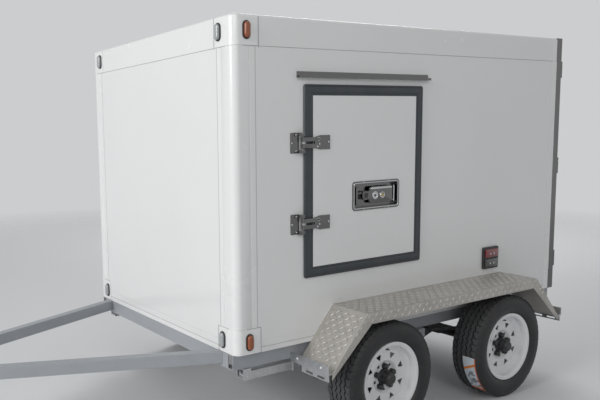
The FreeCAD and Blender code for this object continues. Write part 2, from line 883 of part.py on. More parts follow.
def make_jack_leg():
    leg = rod(jack_x, 0, jack_foot_gauge, jack_leg_radius, jack_leg_length, UP)
    half = jack_foot / 2.0
    foot = block(jack_x - half, jack_x + half, -half, half, 0, jack_foot_gauge)
    return leg.fuse(foot).removeSplitter()


save("jack_tube", make_jack_tube())
save("jack_leg", make_jack_leg())

# Wheels: tyre, rim with its windows, and hub, made once at the origin about the Y axis
flange_radius = bead_radius + flange_height
drop_radius = bead_radius - drop_depth
disc_back = disc_face - disc_gauge
pad_face = disc_face - disc_dish
pad_back = pad_face - disc_gauge
drum_face = pad_back - drum_step


def turned(points):
    """A solid turned about the Y axis from (outboard distance, radius) pairs."""
    corners = [V(0, across, radius) for across, radius in points]
    face = Part.Face(Part.makePolygon(corners + corners[:1]))
    return face.revolve(V(0, 0, 0), ACROSS, 360.0)


def make_tyre():
    """Bead, sidewall with its bulge, shoulder and a grooved tread."""
    bead_y = rim_half - bead_gap
    side = [(bead_y, bead_radius + bead_gap), (bead_y, flange_radius + bead_gap),
            (rim_half + rim_lip + 1, flange_radius + bead_gap)]
    section = tyre_radius - flange_radius
    side += [(tyre_half - inset, flange_radius + section * share) for inset, share in sidewall]
    side.append((tyre_half - shoulder_inset, tyre_radius - shoulder_drop))
    floor_radius = tyre_radius - tread_groove
    tread = []
    for centre in tread_groove_places:
        tread += [(centre + tread_groove_half, tyre_radius), (centre + tread_groove_half - 1, floor_radius),
                  (centre - tread_groove_half + 1, floor_radius), (centre - tread_groove_half, tyre_radius)]
    other = [(-across, radius) for across, radius in reversed(side)]
    return turned(side + tread + other)


def make_window(turn):
    """A triangular hole with rounded corners, its point towards the hub."""
    corners = [V(0, 0, window_inner), V(window_half, 0, window_outer), V(-window_half, 0, window_outer)]
    hole = Part.Face(Part.makePolygon(corners + corners[:1])).extrude(ACROSS * (disc_face + 1))
    edges = [edge for edge in hole.Edges if edge.BoundBox.YLength > disc_face]
    hole = hole.makeFillet(window_corner, edges)
    hole.rotate(V(0, 0, 0), ACROSS, turn)
    return hole


def make_rim():
    """A well-based rim with two flanges, and a dished disc with its holes."""
    lip = rim_half + rim_lip
    seat_in = bead_radius - rim_gauge
    drop_in = drop_radius - rim_gauge
    barrel = turned([(lip, flange_radius), (rim_half, flange_radius), (rim_half, bead_radius),
                     (rim_half - 24, bead_radius), (rim_half - 36, drop_radius), (-20, drop_radius),
                     (-40, bead_radius), (-rim_half, bead_radius), (-rim_half, flange_radius),
                     (-lip, flange_radius), (-lip, flange_radius - flange_fold), (-rim_half - 3, seat_in),
                     (-42, seat_in), (-22, drop_in), (rim_half - 37, drop_in), (rim_half - 27, seat_in),
                     (rim_half + 3, seat_in), (lip, flange_radius - flange_fold)])
    disc = turned([(pad_face, disc_hole_radius), (pad_face, pad_radius), (disc_face, disc_shoulder),
                   (disc_face, drop_in + 1), (disc_back, drop_in + 1), (disc_back, disc_shoulder + 2),
                   (pad_back, pad_radius + 2), (pad_back, disc_hole_radius)])
    cuts = [make_window(360.0 / window_count * (index + 0.5)) for index in range(window_count)]
    for index in range(nut_count):
        hole = Part.makeCylinder(stud_radius + stud_gap, disc_face, V(0, 0, nut_circle), ACROSS)
        hole.rotate(V(0, 0, 0), ACROSS, 360.0 / nut_count * index)
        cuts.append(hole)
    return barrel.fuse(disc).cut(cuts)


def make_nut(turn):
    """A wheel nut on its stud, turned to its place on the circle."""
    stud_start = pad_back - 2
    stud = Part.makeCylinder(stud_radius, pad_face + nut_height + stud_tail - stud_start,
                             V(0, stud_start, nut_circle), ACROSS)
    angles = [math.radians(60 * corner) for corner in range(6)]
    corners = [V(nut_radius * math.cos(a), pad_face, nut_circle + nut_radius * math.sin(a)) for a in angles]
    nut = Part.Face(Part.makePolygon(corners + corners[:1])).extrude(ACROSS * nut_height)
    for piece in (stud, nut):
        piece.rotate(V(0, 0, 0), ACROSS, turn)
    return [stud, nut]


def make_hub():
    """Brake drum, wheel pad, grease cap and five nuts, bored for the spindle."""
    drum = turned([(drum_face + 2, spindle_radius), (drum_face + 2, 30), (pad_back, 30),
                   (pad_back, pad_radius + 2), (drum_face, pad_radius + 6), (drum_face, drum_radius),
                   (-drum_back, drum_radius), (-drum_back, spindle_radius)])
    collar = hub_cap_radius + hub_collar
    cap = turned([(drum_face, 0), (drum_face, collar), (pad_face + 12, collar),
                  (pad_face + 14, hub_cap_radius), (hub_cap_reach - 8, hub_cap_radius - 3),
                  (hub_cap_reach, hub_cap_radius - 12), (hub_cap_reach, 0)])
    pieces = [drum, cap]
    for index in range(nut_count):
        pieces += make_nut(360.0 / nut_count * index)
    bore = Part.makeCylinder(spindle_radius, drum_back + 2 + pad_back + 2, V(0, -drum_back - 2, 0), ACROSS)
    return join(pieces).cut(bore)


wheel_pieces = (("tyre", make_tyre()), ("rim", make_rim()), ("hub", make_hub()))
for axle_name, axle_x in axle_xs:
    for side_name, side in SIDES:
        for piece_name, piece in wheel_pieces:
            placed = piece.copy()
            if side < 0:
                placed.rotate(V(0, 0, 0), UP, 180)
            placed.translate(V(x0 + axle_x, side * track_half, axle_z))
            save(piece_name + "_" + axle_name + "_" + side_name, placed)


# Axles with spring pads, spindles and brake backing plates
def make_axle(x):
    half = axle_tube / 2.0
    boss = track_half - axle_boss_back
    beam = boss + axle_lap
    backing = track_half - drum_back - backing_gap
    disc_start = backing - backing_gauge
    spindle_end = track_half + drum_face - spindle_end_gap
    pad_low = rail_mid_y - spring_width / 2.0
    pad_z = axle_z + half
    pieces = [block(x - half, x + half, -beam, beam, axle_z - half, axle_z + half)]
    for name, side in SIDES:
        direction = ACROSS * side
        pieces.append(rod(x, side * boss, axle_z, axle_boss_radius, backing - boss, direction))
        pieces.append(rod(x, side * disc_start, axle_z, drum_radius + backing_rim, backing_gauge, direction))
        pieces.append(rod(x, side * disc_start, axle_z, spindle_radius - spindle_gap,
                          spindle_end - disc_start, direction))
        pieces.append(side_block(side, x - spring_pad_half, x + spring_pad_half, pad_low,
                                 pad_low + spring_width, pad_z, pad_z + spring_pad_gauge))
    return join(pieces)


for axle_name, axle_x in axle_xs:
    save("axle_" + axle_name, make_axle(axle_x))

# Leaf springs: arcs that share a centre, stacked under the main leaf
spring_seat = axle_z + axle_tube / 2.0 + spring_pad_gauge
main_high = spring_seat + leaf_gauge * len(leaf_lengths)
spring_radius = (spring_span ** 2 / 4.0 + spring_sag ** 2) / (2.0 * spring_sag)
eye_z = main_high + spring_sag
eye_reach = spring_span / 2.0


def make_leaf(x, side, level, length):
    """One leaf: a slice of a ring, its ends square to the arc."""
    inner = spring_radius + level * leaf_gauge
    outer = inner + leaf_gauge
    half_turn = length / 2.0 / spring_radius

    def at(radius, turn):
        return V(x0 + x + radius * math.sin(turn), side * rail_mid_y - spring_width / 2.0,
                 main_high + spring_radius - radius * math.cos(turn))

    edges = [Part.Arc(at(inner, -half_turn), at(inner, 0), at(inner, half_turn)).toShape(),
             Part.LineSegment(at(inner, half_turn), at(outer, half_turn)).toShape(),
             Part.Arc(at(outer, half_turn), at(outer, 0), at(outer, -half_turn)).toShape(),
             Part.LineSegment(at(outer, -half_turn), at(inner, -half_turn)).toShape()]
    return Part.Face(Part.Wire(edges)).extrude(ACROSS * spring_width)


def make_spring(x, side):
    """Four leaves, two eyes, and the clamp plates and bolts over the axle."""
    pieces = [make_leaf(x, side, level, length) for level, length in enumerate(leaf_lengths)]
    middle_y = side * rail_mid_y
    low_y = middle_y - spring_width / 2.0
    bores = []
    for end in ENDS:
        eye_x = x + end * eye_reach
        pieces.append(rod(eye_x, low_y, eye_z, eye_radius, spring_width, ACROSS))
        bores.append(rod(eye_x, low_y - 1, eye_z, pin_radius + pin_gap, spring_width + 2, ACROSS))
    clamp_x = axle_tube / 2.0 + clamp_side
    low_z = axle_z - axle_tube / 2.0 - clamp_gauge
    for plate_z in (low_z, main_high):
        pieces.append(block(x - clamp_x - clamp_margin, x + clamp_x + clamp_margin, middle_y - clamp_half,
                            middle_y + clamp_half, plate_z, plate_z + clamp_gauge))
    bolt_low = low_z - bolt_tail
    bolt_high = main_high + clamp_gauge + bolt_head
    for along in ENDS:
        for across in ENDS:
            pieces.append(rod(x + along * clamp_x, middle_y + across * bolt_y, bolt_low, bolt_radius,
                              bolt_high - bolt_low, UP))
    return join(pieces).cut(bores)


save("leaf_springs", [make_spring(x, side) for axle_name, x in axle_xs for name, side in SIDES])


# Hangers under the rails and equalisers between the springs
def ear_span(side, across, near):
    """The two Y values of an ear that stands beside a spring."""
    start = side * rail_mid_y + across * near
    return sorted((start, start + across * ear_gauge))


def make_hanger(x, side, clear):
    """Two ears under a rail with the pin of a spring eye."""
    near = spring_width / 2.0 + clear
    far = near + ear_gauge
    middle_y = side * rail_mid_y
    pieces = [block(x - ear_half, x + ear_half, middle_y - far, middle_y + far, rail_z - ear_bridge, rail_z),
              rod(x, middle_y - far - pin_tail, eye_z, pin_radius, 2 * (far + pin_tail), ACROSS)]
    for across in ENDS:
        low_y, high_y = ear_span(side, across, near)
        pieces.append(block(x - ear_half, x + ear_half, low_y, high_y, eye_z - ear_drop, rail_z))
    return join(pieces)


def make_equaliser(side):
    """A rocker of two plates that links the eyes of neighbouring springs."""
    x = axle_mid
    reach = axle_spacing / 2.0 - eye_reach
    end_x = reach + rocker_end
    near = spring_width / 2.0 + ear_gap
    far = near + ear_gauge
    pin_start = side * rail_mid_y - far - pin_tail
    pin_length = 2 * (far + pin_tail)
    outline = [(x - end_x, eye_z + rocker_top), (x - end_x, eye_z - rocker_low),
               (x - rocker_end, eye_z - rocker_mid), (x + rocker_end, eye_z - rocker_mid),
               (x + end_x, eye_z - rocker_low), (x + end_x, eye_z + rocker_top)]
    pieces = []
    for across in ENDS:
        low_y, high_y = ear_span(side, across, near)
        pieces.append(plate([(px, low_y, pz) for px, pz in outline], ACROSS * (high_y - low_y)))
    for end in ENDS:
        pieces.append(rod(x + end * reach, pin_start, eye_z, pin_radius, pin_length, ACROSS))
    bore = rod(x, pin_start, eye_z, pin_radius + pin_gap, pin_length, ACROSS)
    return join(pieces).cut(bore)


hangers = []
for name, side in SIDES:
    hangers.append(make_hanger(axle_xs[0][1] - eye_reach, side, ear_gap))
    hangers.append(make_hanger(axle_xs[1][1] + eye_reach, side, ear_gap))
    hangers.append(make_hanger(axle_mid, side, 2 * ear_gap + ear_gauge))
save("spring_hangers", hangers)
save("equalisers", [make_equaliser(side) for name, side in SIDES])

# Mudguards: folded plate with an outer skirt that narrows down the slopes
guard_width = tyre_gap + 2 * tyre_half + guard_margin
guard_outer = side_y + guard_width
guard_top = axle_z + tyre_radius + guard_clearance
guard_tip_z = guard_top - guard_drop
guard_flat_half = axle_spacing / 2.0 + guard_overhang
guard_half = guard_flat_half + guard_run


def make_guard(side):
    top = [(-guard_half, guard_tip_z), (-guard_flat_half, guard_top),
           (guard_flat_half, guard_top), (guard_half, guard_tip_z)]
    under = [(guard_half - guard_gauge, guard_tip_z - guard_gauge),
             (guard_flat_half - guard_gauge / 2.0, guard_top - guard_gauge),
             (guard_gauge / 2.0 - guard_flat_half, guard_top - guard_gauge),
             (guard_gauge - guard_half, guard_tip_z - guard_gauge)]
    width = ACROSS * (side * guard_width)
    sheet = plate([(axle_mid + x, side * side_y, z) for x, z in top + under], width)
    skirt_half = guard_flat_half - skirt_step
    skirt_z = guard_top - skirt_depth
    low_edge = [(guard_half, guard_tip_z - skirt_tip), (skirt_half, skirt_z),
                (-skirt_half, skirt_z), (-guard_half, guard_tip_z - skirt_tip)]
    fold = ACROSS * (-side * guard_gauge)
    skirt = plate([(axle_mid + x, side * guard_outer, z) for x, z in top + low_edge], fold)
    return join([sheet, skirt])


def make_stay(side, facing):
    """A bar from the rail out past the tip of a mudguard, with a slotted plate below it."""
    tip_x = axle_mid + facing * guard_half
    face = tip_x + facing * stay_ahead
    back = face - facing * stay_gauge
    lip_start, lip_end = sorted((back, back - facing * stay_gauge))
    inner = rail_y + stay_inset
    outer = guard_outer - guard_gauge
    low = guard_tip_z
    bar = side_block(side, *sorted((face, back)), rail_y, guard_outer, low, low + stay_height)
    shelf = side_block(side, *sorted((back, tip_x + facing * stay_lap)), inner, outer, low, low + stay_gauge)
    lip = side_block(side, lip_start, lip_end, inner, outer, low - stay_lip, low + 1)
    slot_low = low - slot_drop - slot_height
    for place in slot_places:
        lip = lip.cut(side_block(side, lip_start - 1, lip_end + 1, rail_y + place,
                                 rail_y + place + slot_length, slot_low, slot_low + slot_height))
    return join([bar, shelf, lip])


for name, side in SIDES:
    save("mudguard_" + name, make_guard(side))
save("mudguard_stays", [make_stay(side, facing) for name, side in SIDES for facing in ENDS])


# Corner lamps: stadium lenses on bezels at the corner caps
def stadium(x, y, z, width, height, depth, direction):
    """An upright rounded lamp body, as deep as given, on a wall."""
    half = width / 2.0
    straight = height / 2.0 - half
    across = V(0, half, 0) if abs(direction.x) > 0.5 else V(half, 0, 0)
    start = V(x0 + x, y, z - straight) - across
    corners = [start, start + across * 2, start + across * 2 + direction * depth, start + direction * depth]
    core = Part.Face(Part.makePolygon(corners + corners[:1])).extrude(UP * (2 * straight))
    ends = [rod(x, y, z + end * straight, half, depth, direction) for end in ENDS]
    return join([core] + ends)


bezels = []
lenses = {"clear": [], "amber": [], "red": []}
for name, side in SIDES:
    lamp_places = (("clear", 0.0, side * (side_y - lamp_front_inset), V(-1, 0, 0)),
                   ("amber", lamp_side_x, side * side_y, V(0, side, 0)),
                   ("red", rear_back, side * (side_y - lamp_rear_inset), V(1, 0, 0)))
    for z in (floor_z + lamp_low_rise, roof_z - lamp_high_drop):
        for colour, x, y, direction in lamp_places:
            out = direction * bezel_gauge
            bezels.append(stadium(x, y, z, lamp_width, lamp_height, bezel_gauge, direction))
            lenses[colour].append(stadium(x + out.x, y + out.y, z, lamp_width - 2 * lens_margin,
                                          lamp_height - 2 * lens_margin, lens_gauge, direction))
save("lamp_bezels", bezels)
save("clear_lenses", lenses["clear"])
save("amber_lenses", lenses["amber"])

# Side tail lamps above the mudguards, rear light bar and number plate
side_lamp_x = axle_xs[1][1] + side_lamp_behind
side_lamp_z = floor_z + side_lamp_rise
side_lamp_face = side_y + side_lamp_gauge
side_lamp_bases = []
for name, side in SIDES:
    near, far = sorted((side * side_y, side * side_lamp_face))
    side_lamp_bases.append(rounded_block(side_lamp_x, side_lamp_x + side_lamp_width, near, far,
                                         side_lamp_z, side_lamp_z + side_lamp_height, side_lamp_corner))
    lens_low = side_lamp_z + side_lens_margin
    lens_high = side_lamp_z + side_lamp_height - side_lens_margin - side_lens_height
    for low in (lens_low, lens_high):
        lenses["red"].append(side_block(side, side_lamp_x + side_lens_margin,
                                        side_lamp_x + side_lamp_width - side_lens_margin, side_lamp_face,
                                        side_lamp_face + side_lens_gauge, low, low + side_lens_height))
save("side_lamp_bases", side_lamp_bases)

bar_half = side_y - light_bar_inset
bar_low = rail_z - light_bar_drop
bar_front = rear_back - light_bar_setback
bar_face = bar_front + light_bar_gauge
shelf_top = bar_low + light_bar_gauge
save("rear_light_bar", join([block(bar_front, bar_face, -bar_half, bar_half, bar_low, rail_z),
                             block(bar_front, bar_front + light_bar_depth, -bar_half, bar_half,
                                   bar_low, shelf_top)]))
for name, side in SIDES:
    lamp_outer = bar_half - tail_lamp_inset
    lenses["red"].append(side_block(side, bar_face, bar_face + light_bar_depth, lamp_outer - tail_lamp_length,
                                    lamp_outer, shelf_top, rail_z - tail_lamp_gap))
save("red_lenses", lenses["red"])
save("number_plate", block(bar_face, bar_face + plate_gauge, -plate_half, plate_half,
                           shelf_top, shelf_top + plate_height))

# Steadies: a bracket under each end of the rails and a leg folded along it
pivot_z = rail_z - steady_drop
steady_xs = (("front", steady_setback, 1), ("rear", rear_back - rear_steady_setback, -1))


def steady_reach(x, facing):
    """Length of a folded leg: the room up to the nearest spring hanger, less a clearance."""
    hanger_x = axle_mid - facing * (axle_spacing / 2.0 + eye_reach + ear_half)
    return abs(hanger_x - x) - steady_foot_gauge - steady_clearance


def make_steady_bracket(x, side):
    """Two cheeks under a top plate, with the pin of the leg."""
    middle_y = side * rail_mid_y
    near = steady_width / 2.0 + bracket_gap
    far = near + bracket_gauge
    pin_start = middle_y - far - bracket_gap
    pieces = [block(x - bracket_half, x + bracket_half, middle_y - far, middle_y + far,
                    rail_z - bracket_gauge, rail_z),
              rod(x, pin_start, pivot_z, steady_pin, 2 * (far + bracket_gap), ACROSS)]
    for across in ENDS:
        low_y, high_y = sorted((middle_y + across * near, middle_y + across * far))
        pieces.append(block(x - bracket_half, x + bracket_half, low_y, high_y, pivot_z - steady_tail, rail_z))
    return join(pieces)


def make_steady_leg(x, side, facing):
    """A channel with its screw and nut, and a foot at the far end."""
    half_z = steady_height / 2.0
    middle_y = side * rail_mid_y
    low_y = middle_y - steady_width / 2.0
    high_y = middle_y + steady_width / 2.0
    length = steady_reach(x, facing)
    tip = x + facing * length
    start, end = sorted((x - facing * steady_tail, tip))
    solid = block(start, end, low_y, high_y, pivot_z - half_z, pivot_z + half_z)
    inner = block(start - 1, end + 1, low_y + steady_gauge, high_y - steady_gauge,
                  pivot_z - half_z - 1, pivot_z + half_z - steady_gauge)
    foot_start, foot_end = sorted((tip, tip + facing * steady_foot_gauge))
    foot = block(foot_start, foot_end, low_y - steady_foot_lip, high_y + steady_foot_lip,
                 pivot_z - half_z - steady_foot_gauge, pivot_z + half_z)
    screw_start = min(x + facing * steady_screw_start, tip)
    screw = rod(screw_start, middle_y, pivot_z, steady_screw, length - steady_screw_start, ALONG)
    nut_near = x + facing * steady_nut_start
    nut_low, nut_high = sorted((nut_near, nut_near + facing * steady_nut_length))
    nut = block(nut_low, nut_high, low_y, high_y, pivot_z - steady_nut_drop, pivot_z + half_z)
    boss = rod(x, low_y, pivot_z, steady_boss, steady_width, ACROSS)
    bore = rod(x, low_y - 1, pivot_z, steady_pin + steady_pin_gap, steady_width + 2, ACROSS)
    return join([solid.cut(inner), foot, screw, nut, boss]).cut(bore)


brackets = []
for end_name, x, facing in steady_xs:
    for side_name, side in SIDES:
        brackets.append(make_steady_bracket(x, side))
        save("steady_" + end_name + "_" + side_name, make_steady_leg(x, side, facing))
save("steady_brackets", brackets)
print("box front at x", round(x0, 2), "overall", round(rear_end + front_end, 1))
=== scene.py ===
# %% [markdown]
# This file dresses a box trailer: an insulated white body on two axles, pulled by an A-shaped drawbar.
# The solids come from the frame, already at their real size, and each step below adds what a solid
# model leaves out: softened edges, tyre tread, tread-plate lozenges, screws, lenses and finishes.

# %% Load the frame
import json
import math
import bmesh
import bpy
import numpy as np
from mathutils import Matrix, Vector


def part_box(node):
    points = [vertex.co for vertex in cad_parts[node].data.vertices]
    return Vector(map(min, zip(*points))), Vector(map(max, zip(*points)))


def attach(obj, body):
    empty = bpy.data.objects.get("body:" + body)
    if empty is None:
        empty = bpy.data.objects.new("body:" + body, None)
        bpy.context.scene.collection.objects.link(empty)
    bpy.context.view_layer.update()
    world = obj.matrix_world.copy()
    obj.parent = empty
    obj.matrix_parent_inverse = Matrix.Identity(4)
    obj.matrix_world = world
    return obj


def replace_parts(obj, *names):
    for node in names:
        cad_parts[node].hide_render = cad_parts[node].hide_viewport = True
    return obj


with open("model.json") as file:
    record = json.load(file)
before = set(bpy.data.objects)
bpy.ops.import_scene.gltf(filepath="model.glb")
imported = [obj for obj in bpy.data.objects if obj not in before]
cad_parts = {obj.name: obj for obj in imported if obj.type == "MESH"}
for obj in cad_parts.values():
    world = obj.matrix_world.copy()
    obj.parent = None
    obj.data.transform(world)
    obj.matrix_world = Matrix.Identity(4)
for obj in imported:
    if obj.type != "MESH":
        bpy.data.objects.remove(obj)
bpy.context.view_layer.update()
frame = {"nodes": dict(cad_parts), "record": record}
record = frame["record"]
body_of_node = {node: body for body, nodes in record["behaviour"]["bodies"].items() for node in nodes}
slot_of_node = {part["node"]: part["material_slot"] for part in record["subparts"]}
MM = 0.001
WHEELS = ("front_left", "front_right", "rear_left", "rear_right")

# %% [markdown]
# Finishes are node trees. Wiring nodes one call at a time hides the idea of a pattern, so a small class
# lets a socket be used in ordinary arithmetic: `1 - dirt * 0.3` adds the Math nodes by itself.


# %% Shader arithmetic
class Signal:
    """A shader socket that takes part in sums; each operator adds one Math node."""

    def __init__(self, wiring, socket):
        self.wiring = wiring
        self.socket = socket

    def math(self, operation, *values):
        return self.wiring.node("ShaderNodeMath", {"operation": operation}, dict(enumerate(values)))

    def absolute(self):
        return self.math("ABSOLUTE", self)

    def root(self):
        return self.math("SQRT", self)

    def __add__(self, other):
        return self.math("ADD", self, other)

    def __radd__(self, other):
        return self.math("ADD", other, self)

    def __sub__(self, other):
        return self.math("SUBTRACT", self, other)

    def __rsub__(self, other):
        return self.math("SUBTRACT", other, self)

    def __mul__(self, other):
        return self.math("MULTIPLY", self, other)

    def __rmul__(self, other):
        return self.math("MULTIPLY", other, self)

    def __truediv__(self, other):
        return self.math("DIVIDE", self, other)

    def __gt__(self, other):
        return self.math("GREATER_THAN", self, other)

    def __lt__(self, other):
        return self.math("LESS_THAN", self, other)


class Wiring:
    """Adds nodes to one node tree."""

    def __init__(self, tree):
        self.tree = tree

    def link(self, value, socket):
        if isinstance(value, Signal):
            self.tree.links.new(value.socket, socket)
        else:
            socket.default_value = value

    def node(self, kind, settings=None, sockets=None, output=0):
        """Adds a node: its settings first, then the values or links of its sockets."""
        node = self.tree.nodes.new(kind)
        for name, value in (settings or {}).items():
            setattr(node, name, value)
        for name, value in (sockets or {}).items():
            self.link(value, node.inputs[name])
        return Signal(self, node.outputs[output])

    def blend(self, share, first, second):
        """A colour between two colours; share 0 gives the first."""
        return self.node("ShaderNodeMix", {"data_type": "RGBA"}, {0: share, 6: first, 7: second}, output=2)

    def ramp(self, value, low, high):
        """0 below low, 1 above high, and straight between."""
        return self.node("ShaderNodeMapRange", {}, {0: value, 1: low, 2: high, 3: 0.0, 4: 1.0})


class Finish(Wiring):
    """One material: a Principled shader whose patterns follow the piece's Object coordinates."""

    def __init__(self, name, colour, roughness, metallic=0.0, coat=0.0):
        self.material = bpy.data.materials.new(name)
        self.material.use_nodes = True
        super().__init__(self.material.node_tree)
        self.shader = self.tree.nodes["Principled BSDF"]
        self.set("Base Color", (*colour, 1.0))
        self.set("Roughness", roughness)
        self.set("Metallic", metallic)
        self.set("Coat Weight", coat)
        self.material.diffuse_color = (*colour, 1.0)

    def set(self, name, value):
        self.link(value, self.shader.inputs[name])

    def place(self, scale=(1.0, 1.0, 1.0), turn=(0.0, 0.0, 0.0)):
        """Object coordinates, stretched and turned, in metres."""
        point = self.node("ShaderNodeTexCoord", output=3)
        return self.node("ShaderNodeMapping", {}, {"Vector": point, "Rotation": turn, "Scale": scale})

    def noise(self, scale, detail=2.0, roughness=0.5, where=None):
        vector = where if where is not None else self.place()
        return self.node("ShaderNodeTexNoise", {},
                         {"Vector": vector, "Scale": scale, "Detail": detail, "Roughness": roughness})

    def bump(self, height, strength, distance):
        self.set("Normal", self.node("ShaderNodeBump", {},
                                     {"Height": height, "Strength": strength, "Distance": distance}))


def coordinate(finish, index):
    """One Object coordinate of the surface: 0, 1 and 2 are X, Y and Z."""
    point = finish.node("ShaderNodeTexCoord", output=3)
    return finish.node("ShaderNodeSeparateXYZ", {}, {0: point}, output=index)


def height_above(finish, low, high):
    """0 at the height low and 1 at the height high."""
    return finish.ramp(coordinate(finish, 2), low, high)


print("shader arithmetic ready")

# %% [markdown]
# The body is sandwich panel with a glossy white gel coat. Such a surface is nearly perfect, so its life
# comes from small things: a very slow waviness that bends reflections, a hint of grey in the white and a
# trace of dust towards the bottom. The edge profiles and corner caps are painted or moulded in the same
# white, a little duller. A painted picture could carry all this, but noise over the Object coordinates
# needs no unwrapping, runs on from panel to panel and stays sharp at any distance.


# %% White panel, profile and cap
def white_finish(name, tone, roughness, wave, coat):
    finish = Finish(name, tone, roughness, coat=coat)
    patch = finish.noise(1.3, 3.0)
    dust = 1 - height_above(finish, 0.45, 0.95)
    shade = finish.ramp(patch, 0.3, 0.7) * 0.35 + dust * 0.4
    grey = tuple(0.93 * value for value in tone)
    finish.set("Base Color", finish.blend(shade, (*tone, 1.0), (*grey, 1.0)))
    finish.set("Roughness", roughness + 0.05 * finish.noise(9.0, 4.0) + dust * 0.05)
    finish.bump(finish.noise(2.2, 1.0) + 0.02 * finish.noise(160.0, 2.0), 0.25, wave)
    return finish.material


materials = {
    "white_panel": white_finish("white_gel_coat", (0.80, 0.805, 0.80), 0.14, 0.002, 0.4),
    "white_profile": white_finish("white_painted_profile", (0.81, 0.815, 0.81), 0.24, 0.001, 0.2),
    "white_cap": white_finish("white_moulded_cap", (0.83, 0.835, 0.83), 0.22, 0.0005, 0.25),
}
print("white finishes", len(materials))

# %% [markdown]
# Metals and rubber. Zinc plating has a fine cloudy spangle, polished stainless steel has faint draw
# lines, chassis paint is a smooth light grey with grime low down, and black axle paint is dusty. Each
# could be one flat colour; two tones mixed by a noise keep large plain areas from looking like plastic.
# One function for each kind of surface keeps the family alike.


# %% Metals, paints and rubber
def steel_finish(name, tone, roughness, cloud_scale, cloud, draw=(1.0, 1.0, 1.0)):
    finish = Finish(name, tone, roughness, metallic=1.0)
    cells = finish.noise(cloud_scale, 3.0, 0.6, finish.place(draw))
    dark = tuple(value * (1 - cloud) for value in tone)
    finish.set("Base Color", finish.blend(finish.ramp(cells, 0.35, 0.65), (*tone, 1.0), (*dark, 1.0)))
    finish.set("Roughness", roughness + 0.14 * finish.noise(cloud_scale * 0.4, 3.0))
    finish.bump(cells, 0.12, 0.0004)
    return finish.material


def paint_finish(name, tone, roughness, grime, grime_tone, low=0.2, high=0.62):
    finish = Finish(name, tone, roughness, coat=0.1)
    patch = finish.noise(7.0, 5.0, 0.6)
    share = (1 - height_above(finish, low, high)) * finish.ramp(patch, 0.35, 0.7) * grime
    finish.set("Base Color", finish.blend(share, (*tone, 1.0), (*grime_tone, 1.0)))
    finish.set("Roughness", roughness + 0.25 * share + 0.06 * finish.noise(30.0, 3.0))
    finish.bump(finish.noise(260.0, 2.0), 0.1, 0.0005)
    return finish.material


def rubber_finish(name, tone, roughness, dust):
    finish = Finish(name, tone, roughness)
    patch = finish.ramp(finish.noise(11.0, 5.0, 0.65), 0.4, 0.75) * dust
    finish.set("Base Color", finish.blend(patch, (*tone, 1.0), (0.16, 0.15, 0.135, 1.0)))
    finish.set("Roughness", roughness + 0.12 * patch)
    finish.bump(finish.noise(420.0, 3.0), 0.2, 0.0006)
    return finish.material


materials["zinc"] = steel_finish("zinc_plate", (0.62, 0.63, 0.64), 0.3, 70.0, 0.16)
# This tone is far darker than polished stainless steel: a dark reflection is painted into the colour of
# every piece in this slot.
materials["stainless"] = steel_finish("stainless_with_painted_dark_reflection", (0.19, 0.187, 0.184), 0.06, 60.0, 0.1,
                                      (1.0, 1.0, 9.0))
# The tone is darker than the light grey paint: it is partly painted shade, matched to rails that lie in the
# shadow under the body.
materials["grey_chassis"] = paint_finish("grey_chassis_paint_with_painted_shade", (0.34, 0.355, 0.38), 0.32, 0.4,
                                         (0.20, 0.20, 0.195))
materials["black_steel"] = paint_finish("black_axle_paint", (0.018, 0.018, 0.019), 0.45, 0.5,
                                        (0.075, 0.07, 0.065), 0.1, 0.5)
materials["white_rim"] = paint_finish("white_wheel_paint", (0.74, 0.745, 0.76), 0.26, 0.35,
                                      (0.48, 0.46, 0.43), 0.05, 0.5)
materials["dark_gasket"] = rubber_finish("door_seal_rubber", (0.037, 0.044, 0.052), 0.4, 0.12)


def tyre_finish():
    """Black rubber with a greyed tread; the tyre's own attribute says how high the rubber stands."""
    finish = Finish("tyre_rubber", (0.012, 0.012, 0.013), 0.5)
    raised = finish.node("ShaderNodeAttribute", {"attribute_name": "tread_height"}, output=2)
    dust = finish.ramp(finish.noise(11.0, 5.0, 0.65), 0.45, 0.8) * 0.12
    colour = finish.blend(dust, (0.012, 0.012, 0.013, 1.0), (0.12, 0.115, 0.11, 1.0))
    finish.set("Base Color", finish.blend(raised, colour, (0.055, 0.056, 0.058, 1.0)))
    finish.set("Roughness", 0.5 + 0.2 * raised + 0.3 * dust)
    finish.bump(finish.noise(420.0, 3.0), 0.2, 0.0006)
    return finish.material


materials["tyre"] = tyre_finish()
print("finishes", len(materials))

# %% [markdown]
# Tread plate is aluminium rolled with raised lozenges. Bump in the material could suggest them, but it
# leaves the outline flat and is lost when the mesh is exported, so they are real geometry further down.
# The sheet itself is a warm light grey with the fine directionless scratches of handling.


# %% Tread plate aluminium
TREAD_PITCH = 26.0


def tread_plate_finish():
    """Rolled aluminium: fine scratches in all directions over slow warm stains."""
    finish = Finish("tread_plate_aluminium", (0.50, 0.48, 0.455), 0.42, metallic=0.6)
    scratches = finish.noise(90.0, 6.0, 0.75, finish.place((1.0, 4.0, 1.0), (0.3, 0.2, 0.7)))
    stain = finish.ramp(finish.noise(6.0, 5.0, 0.6), 0.4, 0.7)
    finish.set("Base Color", finish.blend(stain * 0.6, (0.50, 0.475, 0.44, 1.0), (0.34, 0.325, 0.305, 1.0)))
    finish.set("Roughness", 0.36 + 0.18 * scratches + 0.1 * stain)
    finish.bump(scratches, 0.18, 0.0005)
    return finish.material


materials["checker_plate"] = tread_plate_finish()
# The lozenges are lighter and more metallic than the sheet: partly wear on their tops, partly a painted
# highlight.
materials["worn_lozenge"] = steel_finish("lozenge_worn_and_painted_highlight", (0.58, 0.56, 0.53), 0.32, 80.0, 0.18)
print("finishes", len(materials))

# %% [markdown]
# Lenses are moulded plastic. A refracting glass shader could show what lies behind them, but these have
# no bulbs inside. Seen from outside the colour sits deep under a clear glossy skin, so a strong coat over
# a saturated colour is enough, with fine ribs as bump.


